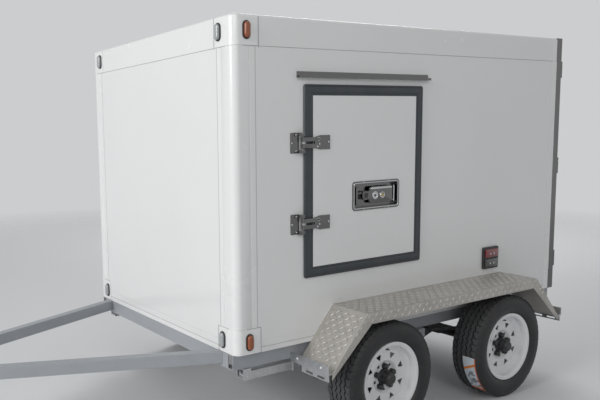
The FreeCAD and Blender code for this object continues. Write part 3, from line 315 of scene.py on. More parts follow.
# %% Lenses and small plastics
def lens_finish(name, tone, rib_scale):
    finish = Finish(name, tone, 0.18, coat=0.8)
    ribs = finish.node("ShaderNodeTexWave", {"bands_direction": "Z"},
                       {"Vector": finish.place(), "Scale": rib_scale, "Distortion": 0.0})
    # Bands along the ribs are darkened to the deep tone: painted shade of the ribbed lens.
    deep = tuple(value * 0.62 for value in tone)
    finish.set("Base Color", finish.blend(ribs * 0.6, (*tone, 1.0), (*deep, 1.0)))
    finish.bump(ribs, 0.3, 0.0006)
    return finish.material


materials["amber"] = lens_finish("amber_lens", (0.30, 0.072, 0.016), 42.0)
materials["clear"] = lens_finish("clear_lens", (0.40, 0.42, 0.43), 42.0)
materials["red"] = lens_finish("red_lens", (0.21, 0.012, 0.018), 42.0)
materials["smoked"] = lens_finish("smoked_lens", (0.040, 0.041, 0.036), 42.0)
materials["floor_sheet"] = rubber_finish("floor_sheet", (0.09, 0.095, 0.10), 0.5, 0.25)
materials["chrome"] = steel_finish("polished_chrome", (0.60, 0.605, 0.61), 0.04, 60.0, 0.06)
materials["sealant"] = rubber_finish("grey_sealant", (0.42, 0.425, 0.43), 0.5, 0.15)
materials["brass"] = steel_finish("key_brass", (0.60, 0.47, 0.22), 0.2, 90.0, 0.12)
materials["black_plastic"] = rubber_finish("black_moulding", (0.022, 0.022, 0.024), 0.36, 0.1)
materials["white_plate"] = white_finish("blank_plate", (0.72, 0.72, 0.72), 0.35, 0.0003, 0.1)
missing = sorted(set(slot_of_node.values()) - set(materials))
print("slots without a finish", missing)

# %% [markdown]
# A drawn or folded piece never has a knife edge. The rounding could be modelled in the solids, but a
# modifier keeps it light and easy to change. Each solid is copied, its triangles are
# merged into clean faces and a Bevel modifier eases the edges by 0.6 to 4 mm. That small radius catches
# a line of light along every edge, and it draws the seams between panels that lie flush. Flat slabs keep
# flat shading, because smooth shading would bend across their long thin triangles. The skirt of each
# mudguard is drawn in by the height of the lozenges that stand on it, so the trailer grows no wider.


# %% Ease the edges of the solids
SKIRT_FACE = 1.0106
CREASE = math.radians(35.0)
GUARDS = ("mudguard_left", "mudguard_right")
FLAT_SLABS = {"floor_panel", "floor_lining", "roof_panel", "front_wall", "left_wall", "right_wall",
              "side_door_leaf", "rear_leaf_left", "rear_leaf_right"}


def merged_copy(node, name):
    """A copy of a CAD node with shared corners and whole flat faces."""
    mesh = frame["nodes"][node].data.copy()
    shape = bmesh.new()
    shape.from_mesh(mesh)
    bmesh.ops.remove_doubles(shape, verts=shape.verts, dist=2e-5)
    bmesh.ops.dissolve_limit(shape, angle_limit=math.radians(0.5), verts=shape.verts, edges=shape.edges)
    shape.to_mesh(mesh)
    shape.free()
    mesh.name = name
    return mesh


def dress(piece, node, look=None):
    """The piece takes the node's finish, or a look of its own, and rides on the node's body."""
    piece.data.materials.clear()
    piece.data.materials.append(materials[look or slot_of_node[node]])
    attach(piece, body_of_node[node])
    return piece


def show(name, mesh):
    piece = bpy.data.objects.new(name, mesh)
    bpy.context.scene.collection.objects.link(piece)
    return piece


def corners_of(mesh):
    """The places of a mesh's corners as an array of rows, in metres."""
    corners = np.empty(3 * len(mesh.vertices))
    mesh.vertices.foreach_get("co", corners)
    return corners.reshape(-1, 3)


def ease(node, width):
    """Stands in for a node with its edges rounded by width, in metres."""
    mesh = merged_copy(node, node + "_eased")
    if node in GUARDS:
        corners = corners_of(mesh)
        corners[:, 1] = np.clip(corners[:, 1], -SKIRT_FACE, SKIRT_FACE)
        mesh.vertices.foreach_set("co", corners.ravel())
    if node in FLAT_SLABS:
        mesh.shade_flat()
    else:
        mesh.shade_smooth()
        mesh.set_sharp_from_angle(angle=CREASE)
    piece = show(node + "_eased", mesh)
    bevel = piece.modifiers.new("eased edge", "BEVEL")
    bevel.width = width
    bevel.segments = 2
    bevel.limit_method = "ANGLE"
    bevel.angle_limit = CREASE
    bevel.harden_normals = node not in FLAT_SLABS
    bevel.use_clamp_overlap = True
    dress(piece, node)
    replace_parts(piece, node)
    return piece


edge_widths = {
    "corner_caps": 4.0, "edge_profiles": 2.0, "floor_panel": 0.8, "roof_panel": 1.6, "front_wall": 1.8,
    "left_wall": 1.8, "right_wall": 1.8, "floor_lining": 0.8, "side_door_lock": 1.6, "rear_frame": 1.5,
    "rear_leaf_left": 1.5, "rear_leaf_right": 1.5, "rear_gear_left": 0.8,
    "rear_gear_right": 0.8, "side_door_leaf": 1.5, "side_door_straps": 0.9, "side_hinge_plates": 0.9,
    "drip_gutter": 0.8, "side_rails": 1.5, "cross_members": 1.2, "drawbar": 2.5,
    "coupling_head": 2.0, "coupling_handle": 2.0, "jack_tube": 1.0, "jack_leg": 1.5, "axle_front": 1.5,
    "axle_rear": 1.5, "leaf_springs": 0.8, "spring_hangers": 1.0, "equalisers": 1.0, "mudguard_left": 0.9,
    "mudguard_right": 0.9, "mudguard_stays": 0.9, "side_lamp_bases": 2.0, "rear_light_bar": 0.8,
    "number_plate": 0.6, "steady_brackets": 0.8, "lamp_bezels": 1.2,
}
for wheel in WHEELS:
    edge_widths["rim_" + wheel] = 1.0
    edge_widths["hub_" + wheel] = 1.0
    edge_widths["steady_" + wheel] = 0.8
eased = {node: ease(node, width * MM) for node, width in edge_widths.items() if node in frame["nodes"]}
print("eased", len(eased))

# %% [markdown]
# New surfaces are worked out as arrays. A grid of points is a function of two parameters; the faces
# between neighbours follow from index arithmetic, so no loop ever touches a single vertex.


# %% Grid surfaces
def grid_faces(rows, columns, wrap_rows, wrap_columns):
    """Corner numbers of the four-sided faces between neighbours: row * columns + column."""
    row = np.arange(rows if wrap_rows else rows - 1)
    column = np.arange(columns if wrap_columns else columns - 1)
    row, column = np.meshgrid(row, column, indexing="ij")
    next_row, next_column = (row + 1) % rows, (column + 1) % columns
    corners = [row * columns + column, row * columns + next_column,
               next_row * columns + next_column, next_row * columns + column]
    return np.stack(corners, axis=-1).reshape(-1, 4)


def mesh_from(name, points, faces, smooth=True):
    """A mesh from an array of points and a list or array of faces, with its normals turned outwards."""
    mesh = bpy.data.meshes.new(name)
    mesh.from_pydata(np.asarray(points).reshape(-1, 3).tolist(), [], [list(map(int, f)) for f in faces])
    shape = bmesh.new()
    shape.from_mesh(mesh)
    bmesh.ops.remove_doubles(shape, verts=shape.verts, dist=1e-6)
    bmesh.ops.recalc_face_normals(shape, faces=shape.faces)
    shape.to_mesh(mesh)
    shape.free()
    if smooth:
        mesh.shade_smooth()
        mesh.set_sharp_from_angle(angle=math.radians(40.0))
    return mesh


# %% [markdown]
# The tyre is a profile carried round the axle. Blocks cut out with booleans could make the tread, but
# they leave ragged faces. Here the grid itself bends with the zigzag of the grooves: every ring of points
# swings from side to side as it goes round, so groove walls follow the grid and stay crisp. Sipes are
# narrow columns of the same grid that dip between the blocks.


# %% Tyre shape
TYRE_RADIUS, TYRE_HALF, BEAD_RADIUS, TREAD_HALF = 298.0, 92.0, 196.2, 74.0
GROOVE_DEPTH, GROOVE_HALF, PITCHES = 9.0, 4.2, 50
GROOVE_CENTRES = (-45.0, -15.0, 15.0, 45.0)


def tread_rows():
    """(across, depth, zigzag share) rows from one shoulder to the other, in millimetres.

    Each groove is six rows: its lips at depth 0 and, 1.2 mm inside them, its floor at full depth.
    """
    rows = [(-TREAD_HALF, 1.6, 0.0), (-TREAD_HALF + 5, 0.3, 0.2)]
    for centre in GROOVE_CENTRES:
        low, high = centre - GROOVE_HALF, centre + GROOVE_HALF
        rows += [(low - 5, 0.0, 0.9), (low, 0.0, 1.0), (low + 1.2, GROOVE_DEPTH, 1.0),
                 (high - 1.2, GROOVE_DEPTH, 1.0), (high, 0.0, 1.0), (high + 5, 0.0, 0.9)]
    rows += [(TREAD_HALF - 5, 0.3, 0.2), (TREAD_HALF, 1.6, 0.0)]
    return np.array(rows)


def sidewall_rows(count=22):
    """(across, radius) from the tread's edge down to the bead.

    The bulge is 1 less the distance from its peak to the power 2.3; two bell curves add raised rings.
    """
    share = np.linspace(0.0, 1.0, count)
    radius = TYRE_RADIUS - 3.0 - share * (TYRE_RADIUS - 3.0 - BEAD_RADIUS)
    peak = 0.52
    bulge = 1 - np.abs((share - peak) / np.where(share < peak, peak, 1 - peak)) ** 2.3
    across = 72.0 + (TYRE_HALF - 73.0) * np.clip(bulge, 0, 1) + 4.5 * share * (1 - share)
    rings = 0.9 * np.exp(-((radius - 262) / 2.5) ** 2) + 1.3 * np.exp(-((radius - 208) / 4.0) ** 2)
    return np.stack([np.minimum(across + rings, TYRE_HALF), radius], axis=1)


def tyre_points():
    """Rows go across the tyre, columns go round it; returns an array of rows, columns and 3.

    A point is (radius * sin turn, across, radius * cos turn). Tread rows swing by a triangle wave of the
    turn times their zigzag share, and the radius is the tyre's less the dip of a groove or a sipe.
    """
    columns_per_pitch = np.array([0.0, 0.09, 0.12, 0.2, 0.35, 0.5, 0.59, 0.62, 0.75, 0.9])
    sipe = np.array([1.0, 1.0, 0.0, 0.0, 0.0, 0.0, 0.0, 0.0, 0.0, 0.0])
    turn = (np.arange(PITCHES)[:, None] + columns_per_pitch[None, :]).ravel()
    in_sipe = np.tile(sipe, PITCHES)
    swing = 5.0 * (4 * np.abs((turn + 0.25) % 1.0 - 0.5) - 1)
    angle = turn * (2 * np.pi / PITCHES)
    rows = tread_rows()
    across = rows[:, :1] + rows[:, 2:] * swing[None, :]
    dip = np.maximum(rows[:, 1:2], 5.0 * in_sipe[None, :] * (np.abs(rows[:, :1]) > 50))
    radius = TYRE_RADIUS - dip
    wall = sidewall_rows()
    lug = 2.0 * in_sipe[None, :] * np.exp(-((wall[:, 1:] - 285) / 9.0) ** 2)
    wall_across = wall[:, :1] - lug + 0 * turn[None, :]
    wall_radius = wall[:, 1:] + 0 * turn[None, :]
    inner = np.array([[69.6, BEAD_RADIUS], [69.6, 179.0]])
    inner_across = inner[:, :1] + 0 * turn[None, :]
    inner_radius = inner[:, 1:] + 0 * turn[None, :]
    full_across = np.concatenate([-inner_across[::-1], -wall_across[::-1], across, wall_across,
                                  inner_across])
    full_radius = np.concatenate([inner_radius[::-1], wall_radius[::-1], radius, wall_radius,
                                  inner_radius])
    return np.stack([full_radius * np.sin(angle), full_across, full_radius * np.cos(angle)], axis=-1) * MM


tyre_grid = tyre_points()
tyre_faces = grid_faces(tyre_grid.shape[0], tyre_grid.shape[1], True, True)
print("tyre grid", tyre_grid.shape, "faces", len(tyre_faces))


# %% [markdown]
# One grid serves all four wheels. How far a corner stands above the grooves is kept as an attribute, and
# the rubber's finish reads it.

# %% Fit a tyre to each wheel
def middle(node):
    low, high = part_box(node)
    return (low + high) / 2


tyres = {}
for wheel in WHEELS:
    centre = middle("tyre_" + wheel)
    mesh = mesh_from("tread_" + wheel, tyre_grid + np.array(centre), tyre_faces)
    corners = corners_of(mesh) - np.array(centre)
    height = np.clip((np.hypot(corners[:, 0], corners[:, 2]) * 1000 - 291) / 6, 0, 1)
    mesh.attributes.new("tread_height", "FLOAT", "POINT").data.foreach_set("value", height)
    tyres[wheel] = dress(show("tread_" + wheel, mesh), "tyre_" + wheel)
    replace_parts(tyres[wheel], "tyre_" + wheel)
print("tyre width", round(float(np.ptp(tyre_grid[..., 1])), 4))

# %% [markdown]
# Small parts are towers: an outline is stacked at several heights and drawn in a little at each. A screw
# head, a lens and a lever differ only in their outline and in their rows. A strip that runs round an
# opening is a section carried round the outline instead.


# %% Towers and strips
def rounded_outline(width, height, radius, per_corner=5):
    """Points and normals round a rectangle: each corner's centre + radius * (cos a, sin a)."""
    angle = np.radians(np.arange(4)[:, None] * 90 + np.linspace(0, 90, per_corner)[None, :])
    normals = np.stack([np.cos(angle), np.sin(angle)], axis=-1)
    signs = np.array([(1, 1), (-1, 1), (-1, -1), (1, -1)])[:, None, :]
    centres = signs * (np.array([width, height]) / 2 - radius)
    return (centres + radius * normals).reshape(-1, 2), normals.reshape(-1, 2)


def circle(radius, count=16):
    """Points and normals round a circle: radius * (cos a, sin a). A count of 6 gives a hexagon."""
    angle = np.arange(count) * 2 * np.pi / count
    normals = np.stack([np.cos(angle), np.sin(angle)], axis=-1)
    return radius * normals, normals


def tower(outline, rows):
    """Rings of outline point - drawn in * normal, at (drawn in, height) rows, closed at both ends."""
    points, normals = outline
    rings = [np.column_stack([points - inset * normals, np.full(len(points), height)])
             for inset, height in rows]
    size, count = len(points), len(rows)
    faces = grid_faces(count, size, False, True).tolist()
    return np.concatenate(rings), faces + [list(range(size)), list(range((count - 1) * size, count * size))]


def carried_round(width, height, corner, section):
    """A closed section of (drawn in, height) points carried round a rounded rectangle."""
    rings = []
    for inset, rise in section:
        points, _ = rounded_outline(width - 2 * inset, height - 2 * inset, max(corner - inset, 0.2))
        rings.append(np.column_stack([points, np.full(len(points), rise)]))
    return np.concatenate(rings), grid_faces(len(section), len(rings[0]), True, True).tolist()


def seat(surface, place, out, up=(0, 0, 1)):
    """Stands a surface on a plane: its height runs along out and its second axis along up."""
    points, faces = surface
    out, up = np.array(out, float), np.array(up, float)
    axes = np.stack([np.cross(up, out), up, out])
    return points @ axes + np.array(place, float), faces


def add(name, node, surfaces, look=None):
    """One new piece of several surfaces, in millimetres, that rides with a node."""
    starts = np.cumsum([0] + [len(points) for points, _ in surfaces])
    faces = [[corner + start for corner in face]
             for start, (_, own) in zip(starts, surfaces) for face in own]
    mesh = mesh_from(name, np.concatenate([points for points, _ in surfaces]) * MM, faces)
    return dress(show(name, mesh), node, look)


NEAR, FAR, FRONT, REAR, TOP = (0, -1, 0), (0, 1, 0), (-1, 0, 0), (1, 0, 0), (0, 0, 1)
SIDES = (-1, 1)
SIDE_WORDS = ((-1, "left"), (1, "right"))
print("towers ready")

# %% [markdown]
# The door's rubber frame is one profile with a lip at each edge and a soft swell between them. Where
# panels meet, a thin line of grey sealant closes the joint; those lines make the body read as panels.

# %% Door seal, rear seals and sealant
gasket_section = [(0, 0), (0, 6.5), (1.2, 8.6), (3.5, 9.8), (7, 9.8), (9, 7.0), (12, 6.6), (14, 8.4),
                  (20, 9.2), (27, 9.5), (34, 9.2), (40, 8.4), (42, 6.6), (45, 7.0), (47, 9.8),
                  (50.5, 9.8), (52.8, 8.6), (54, 6.5), (54, 0)]
gasket_low, gasket_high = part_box("side_door_gasket")
gasket_size = [1000 * value for value in (gasket_high - gasket_low)]
gasket_place = [1000 * value for value in middle("side_door_gasket")]
gasket = add("side_door_seal", "side_door_gasket",
             [seat(carried_round(gasket_size[0], gasket_size[2], 12, gasket_section),
                   (gasket_place[0], -773, gasket_place[2]), NEAR)])
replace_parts(gasket, "side_door_gasket")

leaf_section = [(0, 0), (0, 9), (1.5, 11), (4, 11), (5.6, 9), (5.6, 0)]
for side, word in SIDE_WORDS:
    add("rear_seal_" + word, "rear_leaf_" + word,
        [seat(carried_round(710, 1484, 4, leaf_section), (2045, side * 357, 1308), REAR)], "dark_gasket")


def sealant(length, place, out, along):
    """A flat bead of sealant of a length, laid along a direction in the face."""
    bead = tower(rounded_outline(3.2, length, 1.4, 3), [(0, -0.6), (0, 0.25), (0.9, 0.7)])
    return seat(bead, place, out, along)


WALL, FRONT_WALL, HIGH_SEAM, LOW_SEAM, CAP_SEAM = 770, -490.5, 1966, 534, 634
side_seams = [(1332, -363.5, 1300, TOP), (142, -342.5, 2029, TOP), (126, -342.5, 571, TOP),
              (2302, 808.5, HIGH_SEAM, REAR), (2302, 808.5, LOW_SEAM, REAR),
              (88, -386, HIGH_SEAM, REAR), (88, -386, CAP_SEAM, REAR)]
front_seams = [(1332, 643, 1300, TOP), (142, 622, 2029, TOP), (126, 622, 571, TOP),
               (88, 666, HIGH_SEAM, FAR), (88, 666, CAP_SEAM, FAR)]
lines = []
for side in SIDES:
    lines += [sealant(length, (x, side * WALL, z), (0, side, 0), along)
              for length, x, z, along in side_seams]
    lines += [sealant(length, (FRONT_WALL, side * y, z), FRONT, along)
              for length, y, z, along in front_seams]
lines += [sealant(1244, (FRONT_WALL, 0, z), FRONT, FAR) for z in (LOW_SEAM, HIGH_SEAM)]
add("panel_sealant", "edge_profiles", lines, "sealant")
print("sealant lines", len(lines))

# %% [markdown]
# Each lamp lens rises straight from its bezel, rounds over and ends in a low crown, so that it carries a
# highlight along its shoulder as a moulded lens does. A stretched sphere would be quicker but has no
# straight side to sit in the bezel.


# %% Lamp lenses
def lens(width, height, radius, rise):
    """Rows drawn in by a share of the corner radius while they climb to the crown."""
    rows = [(0, 0), (0, 0.5), (0.08, 0.7), (0.25, 0.86), (0.5, 0.95), (0.8, 1.0)]
    return tower(rounded_outline(width, height, radius, 7), [(a * radius, b * rise) for a, b in rows])


corner_lens, side_lens = lens(32, 72, 15.8, 14), lens(116, 50, 6, 10)
glint_dome = tower(circle(7, 18), [(0, 0), (0, 1.0), (2.0, 2.2), (5.0, 2.8)])
SIDE_LAMP, SMOKED_HEIGHT, RED_HEIGHT = 1391.5, 753, 811
lamp_corners = [(side, height) for side in SIDES for height in (570, 2036)]
clear = [seat(corner_lens, (-496.5, side * 660, height), FRONT) for side, height in lamp_corners]
amber = [seat(corner_lens, (-412.5, side * 776, height), (0, side, 0)) for side, height in lamp_corners]
red = [seat(corner_lens, (2065.5, side * 742, height), REAR) for side, height in lamp_corners]
red += [seat(side_lens, (SIDE_LAMP, side * 784, RED_HEIGHT), (0, side, 0)) for side in SIDES]
smoked = [seat(side_lens, (SIDE_LAMP, side * 784, SMOKED_HEIGHT), (0, side, 0)) for side in SIDES]
# Two pale domes on each side lamp lens are painted highlights: glints laid on as pieces.
painted_glints = [seat(glint_dome, (SIDE_LAMP + x, side * 793.4, height - 3), (0, side, 0))
         for side in SIDES for height in (SMOKED_HEIGHT, RED_HEIGHT) for x in (-20, 14)]
red += [seat(lens(250, 80, 9, 30), (2027.5, side * 520, 386), REAR) for side in SIDES]
for word, surfaces in (("clear", clear), ("amber", amber), ("red", red)):
    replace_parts(add(word + "_lenses_moulded", word + "_lenses", surfaces), word + "_lenses")
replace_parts(add("smoked_lenses_moulded", "red_lenses", smoked, "smoked"), "red_lenses")
add("side_lamp_painted_glints", "red_lenses", painted_glints, "clear")
print("lenses", len(clear) + len(amber) + len(red) + len(smoked))

# %% [markdown]
# Every fastener comes from one of three towers: the low dome of a screw, the hexagon head of a bolt on
# its washer, and a turned ring with a sunk face.


# %% Screws, bolts and rings
def screw(radius):
    """A low domed head whose skirt sinks into its seat."""
    return tower(circle(radius, 14), [(0, -0.6), (0, 0.25 * radius), (0.2 * radius, 0.42 * radius),
                                      (0.6 * radius, 0.55 * radius)])


def bolt(radius):
    """A hexagon head on a washer."""
    washer = tower(circle(1.4 * radius, 18), [(0, -0.6), (0, 1.4), (0.5, 1.8)])
    head = tower(circle(radius, 6), [(0, 1.2), (0, 1.4 + 0.55 * radius),
                                     (0.14 * radius, 1.4 + 0.7 * radius)])
    return washer, head


def turned_ring(radius, rise):
    """A ring with a rounded rim and a sunk face."""
    return tower(circle(radius, 28), [(0, -0.6), (0, rise * 0.6), (radius * 0.08, rise),
                                      (radius * 0.24, rise), (radius * 0.32, rise * 0.45),
                                      (radius * 0.95, rise * 0.45)])


print("fasteners ready")

# %% [markdown]
# The flush lock is bright pressed steel. A rolled lip runs round its pan, the lever plate carries a grip
# roll, and the key sits in one of two turned rings. All of it is one polish in two copies: the pressings
# take the darkened stainless, and the lip, grip roll, bar at the right, rings and screws take bright
# chrome, so the bright pieces are painted highlights on a painted dark reflection.


# %% Flush lock
def rounded_tower(width, height, radius, rows, place):
    """A tower on a rounded rectangle that faces the near side."""
    return seat(tower(rounded_outline(width, height, radius), rows), place, NEAR)


LOCK_MIDDLE = 1229.5
ring_place, key_place, latch_place = (404, -784, 1226), (455.5, -784, 1226), (337, -776, 1231)
lip_section = [(0, 0), (0, 0.9), (1.2, 1.9), (3.2, 1.9), (4.4, 0.9), (4.4, 0)]
pressed = [
    rounded_tower(168, 88, 12, [(0, 0), (0, 5.5), (1.2, 7.4), (3.0, 8.2)], (450, -776, LOCK_MIDDLE)),
    rounded_tower(40, 38, 6, [(0, 0), (0, 8), (1.5, 9.8), (3.5, 10.4)], latch_place),
    rounded_tower(15, 96, 7, [(0, 0), (0, 12), (1.6, 15.4), (4.2, 17)], (281, -762.5, LOCK_MIDDLE)),
]
add("side_lock_pressings", "side_door_lock", pressed)
# The lip, the grip roll along the lever's top edge and the bar at the right are painted highlights in
# bright chrome; the rings and screws take the same bright copy.
lock = [
    seat(carried_round(341 - 14, 151 - 14, 12, lip_section), (411, -786.6, LOCK_MIDDLE), NEAR),
    rounded_tower(152, 13, 6, [(0, -1), (0, 2.4), (1.4, 4.2), (3.6, 4.9)], (451, -783.6, 1264)),
    rounded_tower(9, 88, 4, [(0, 0), (0, 14), (1.2, 17), (3.0, 18)], (551, -762.5, LOCK_MIDDLE)),
    seat(turned_ring(21, 3.4), ring_place, NEAR),
    seat(turned_ring(18, 4.4), key_place, NEAR),
]
lock += [seat(screw(3.4), (x, -787, z), NEAR) for z in (1299, 1160) for x in (320, 500)]
add("side_lock_fittings_and_painted_highlights", "side_door_lock", lock, "chrome")
add("side_lock_key", "side_door_lock",
    [seat(tower(circle(9, 20), [(0, 0), (0, 3.4), (0.9, 4.2), (8, 4.2)]), key_place, NEAR)], "brass")
# Black pieces fill the keyway, the hole in the ring and the latch recess: painted shade in the holes.
add("side_lock_holes_painted_shade", "side_door_lock",
    [rounded_tower(2.2, 10, 1, [(0, 0), (0, 4.7)], key_place),
     seat(tower(circle(6, 16), [(0, 0), (0, 3.4)]), ring_place, NEAR),
     rounded_tower(26, 24, 3, [(0, 0), (0, 11)], latch_place)], "black_plastic")
print("lock parts", len(pressed) + len(lock) + 4)

# %% [markdown]
# The heads that hold the hinges, the rear straps, the mudguard stays and the light bar are set by their
# places alone. Each group rides with the piece it fastens.

# %% Hinge screws and chassis bolts
fixed, moving, sockets = [], [], []
for height in (1514, 1116):
    fixed += [seat(screw(4.6), (x, -775, height + z), NEAR)
              for x, z in ((-124, 39), (-150, 0), (-124, -39))]
    fixed += [seat(tower(circle(9.6, 24), [(1, 0), (0, 1), (0, 4), (1.2, 5), (0, 6), (0, 9), (1, 10)]),
                   (-93.5, -792, height - 5), TOP, (0, 1, 0))]
    moving += [seat(screw(4.6), (x, -788, height + z), NEAR) for x, z in ((75, 1), (15, -8), (3, -20))]
    moving += [seat(turned_ring(9.5, 5), (5, -788, height + 16), NEAR)]
    # A black hexagon in each turned ring's socket is painted shade in the hole.
    sockets += [seat(tower(circle(5, 6), [(0, 1), (0, 3.2)]), (5, -788, height + 16), NEAR)]
add("hinge_plate_screws", "side_hinge_plates", fixed, "chrome")
add("hinge_strap_screws", "side_door_straps", moving, "chrome")
add("hinge_bolt_socket_painted_shade", "side_door_straps", sockets, "black_plastic")

for side, word in SIDE_WORDS:
    heads = [seat(screw(6), (2064.5, side * y, z), REAR)
             for z in (700, 1308, 1916) for y in (548, 600, 652)]
    add("rear_strap_screws_" + word, "rear_gear_" + word, heads, "chrome")

stay_bolts = [(x, side * y, out) for x, out in ((-135.5, FRONT), (1754.5, REAR))
              for side in SIDES for y in (790, 958)]
add("stay_bolts", "mudguard_stays",
    [seat(half, (x, y, 442), out) for x, y, out in stay_bolts for half in bolt(7)], "zinc")
add("light_bar_bolts", "rear_light_bar",
    [seat(half, (2027.5, y, 387), REAR) for y in (-350, -205, 205, 350) for half in bolt(6)], "zinc")
add("plate_screws", "number_plate", [seat(screw(4), (2030.5, y, 385), REAR) for y in (-125, 125)], "chrome")
print("hinge heads", len(fixed) + len(moving), "stay bolts", len(stay_bolts))

# %% [markdown]
# One lozenge is worked out once and copied by array arithmetic to every cell of a grid, turned one way in
# even cells and the other way in odd ones, as the rolls of a tread-plate mill leave them. An Array
# modifier could repeat it too, but not turn every other copy or stop at the skirt's slanted edges.


# %% Tread-plate lozenges
def scattered(surface, places, turns):
    """Copies of a surface at (x, y) places in its own plane: turned by (cos, sin), then moved."""
    points, faces = surface
    cosine, sine = np.cos(turns)[:, None], np.sin(turns)[:, None]
    across = points[None, :, 0] * cosine - points[None, :, 1] * sine + places[:, :1]
    along = points[None, :, 0] * sine + points[None, :, 1] * cosine + places[:, 1:]
    copies = np.stack([across, along, points[None, :, 2] + 0 * across], axis=-1).reshape(-1, 3)
    starts = np.arange(len(places))[:, None] * len(points)
    return copies, [corners for face in faces for corners in (np.array(face)[None, :] + starts).tolist()]


def lozenges(places, turns):
    """Lozenges at (x, y) places of a sheet: ellipses 25 by 7.6 mm, drawn in as they rise 1.4 mm."""
    points, normals = circle(1.0, 8)
    bar = tower((points * np.array([12.5, 3.8]), normals), [(0, -0.6), (0.6, 0.8), (1.7, 1.4)])
    return scattered(bar, np.asarray(places, float), np.asarray(turns, float))


def lozenge_sheet(length, width):
    """Lozenges on a whole sheet, one to a cell."""
    columns, rows = int(length // TREAD_PITCH), int(width // TREAD_PITCH)
    column, row = np.meshgrid(np.arange(columns), np.arange(rows), indexing="ij")
    places = np.stack([column - (columns - 1) / 2, row - (rows - 1) / 2], axis=-1).reshape(-1, 2)
    return lozenges(places * TREAD_PITCH, np.where((column + row) % 2 == 0, 1, -1).ravel() * np.pi / 4)


def skirt_lozenges():
    """Lozenges at (run from the guard's middle, height) between the fold and the skirt's low edge."""
    column, row = np.meshgrid(np.arange(-38, 39), np.arange(14), indexing="ij")
    run, height = column.ravel() * TREAD_PITCH, 668 - row.ravel() * TREAD_PITCH
    fold = 680 - np.clip(np.abs(run) - 685, 0, 232) * 262 / 232
    low = 624 - np.clip(np.abs(run) - 658, 0, 259) * 234 / 259
    kept = (height < fold - 11) & (height > low + 9) & (np.abs(run) < 890)
    turns = np.where((column + row) % 2 == 0, 1, -1).ravel() * np.pi / 4
    return lozenges(np.stack([run, height], axis=-1)[kept], turns[kept])


guard_middle, guard_line, slope = 809.5, 891, math.atan2(262, 232)
for side, word in SIDE_WORDS:
    sheets = [seat(lozenge_sheet(1356, 230), (guard_middle, side * guard_line, 680), TOP, FAR),
              seat(skirt_lozenges(), (guard_middle, side * 1000 * SKIRT_FACE, 0), (0, side, 0))]
    for end in (-1, 1):
        out = (end * math.sin(slope), 0, math.cos(slope))
        sheets.append(seat(lozenge_sheet(336, 230), (guard_middle + end * 801, side * guard_line, 549),
                           out, FAR))
    add("tread_lozenges_" + word, "mudguard_" + word, sheets, "worn_lozenge")
print("lozenge sheets", len(sheets), "on each side")

# %% [markdown]
# The tyre's paper label is a thin strip that lies on the tread. Its colours come from its own UV map: a
# pale field, a slanted orange band, grey blotches and a red edge, with nothing written on it.


# %% Paper label
LABEL_ARC, LABEL_WIDTH, LABEL_START, LABEL_EDGE, LABEL_COLUMNS = 46.0, 78.0, -94.0, -73.5, 19


def label_material():
    finish = Finish("paper_label", (0.6, 0.65, 0.7), 0.5, coat=0.15)
    point = finish.node("ShaderNodeTexCoord", output=2)
    across = finish.node("ShaderNodeSeparateXYZ", {}, {0: point}, output=0)
    along = finish.node("ShaderNodeSeparateXYZ", {}, {0: point}, output=1)
    blotch = finish.ramp(finish.noise(34.0, 2.0, 0.4), 0.52, 0.56) * (along > 0.36)
    band = (along + across * 0.16 - 0.32).absolute() < 0.032
    colour = finish.blend(blotch, (0.60, 0.65, 0.70, 1.0), (0.20, 0.22, 0.25, 1.0))
    colour = finish.blend(band, colour, (0.72, 0.22, 0.03, 1.0))
    colour = finish.blend(((across > 0.93) + (along > 0.9)) > 0.5, colour, (0.60, 0.12, 0.03, 1.0))
    finish.set("Base Color", colour)
    finish.bump(finish.noise(90.0, 3.0), 0.2, 0.0006)
    return finish.material


materials["paper_label"] = label_material()
turns = np.radians(LABEL_START - np.linspace(0, LABEL_ARC, LABEL_COLUMNS))
under, over, far_edge = TYRE_RADIUS + 0.05, TYRE_RADIUS + 0.5, LABEL_EDGE + LABEL_WIDTH
strip = [(LABEL_EDGE, under), (LABEL_EDGE, over), (far_edge, over), (far_edge, under)]
ring = [np.stack([r * np.sin(turns), a + 0 * turns, r * np.cos(turns)], axis=-1) for a, r in strip]
caps = [[row * LABEL_COLUMNS + end for row in range(4)] for end in (0, LABEL_COLUMNS - 1)]
label_surface = (np.concatenate(ring) + 1000 * np.array(middle("tyre_rear_left")),
                 grid_faces(4, LABEL_COLUMNS, True, False).tolist() + caps)
label = add("tyre_label", "tyre_rear_left", [label_surface], "paper_label")
corners = corners_of(label.data) - np.array(middle("tyre_rear_left"))
around = LABEL_START - np.degrees(np.arctan2(corners[:, 0], corners[:, 2]))
label_uv = np.stack([1 - (corners[:, 1] * 1000 - LABEL_EDGE) / LABEL_WIDTH, around / LABEL_ARC], axis=-1)
loops = np.empty(len(label.data.loops), dtype=np.int32)
label.data.loops.foreach_get("vertex_index", loops)
label.data.uv_layers.new(name="label").uv.foreach_set("vector", label_uv[loops].ravel())
print("label faces", len(label.data.polygons))

# %% [markdown]
# Each wheel's face carries five nut caps round a ridged hub cover, five spare holes in pressed rims, and
# a valve. They repeat every fifth of a turn.


# %% Nut caps, spare holes and valves
NUT_RING, HOLE_RING, VALVE_RING, PAD, FIFTH = 57.15, 69.0, 150, 20, 72


def on_disc(hub, side, radius, degrees, reach=PAD):
    """A place on a wheel's face, from +Z round the axle."""
    angle = math.radians(degrees)
    return hub[0] + radius * math.sin(angle), hub[1] + side * reach, hub[2] + radius * math.cos(angle)


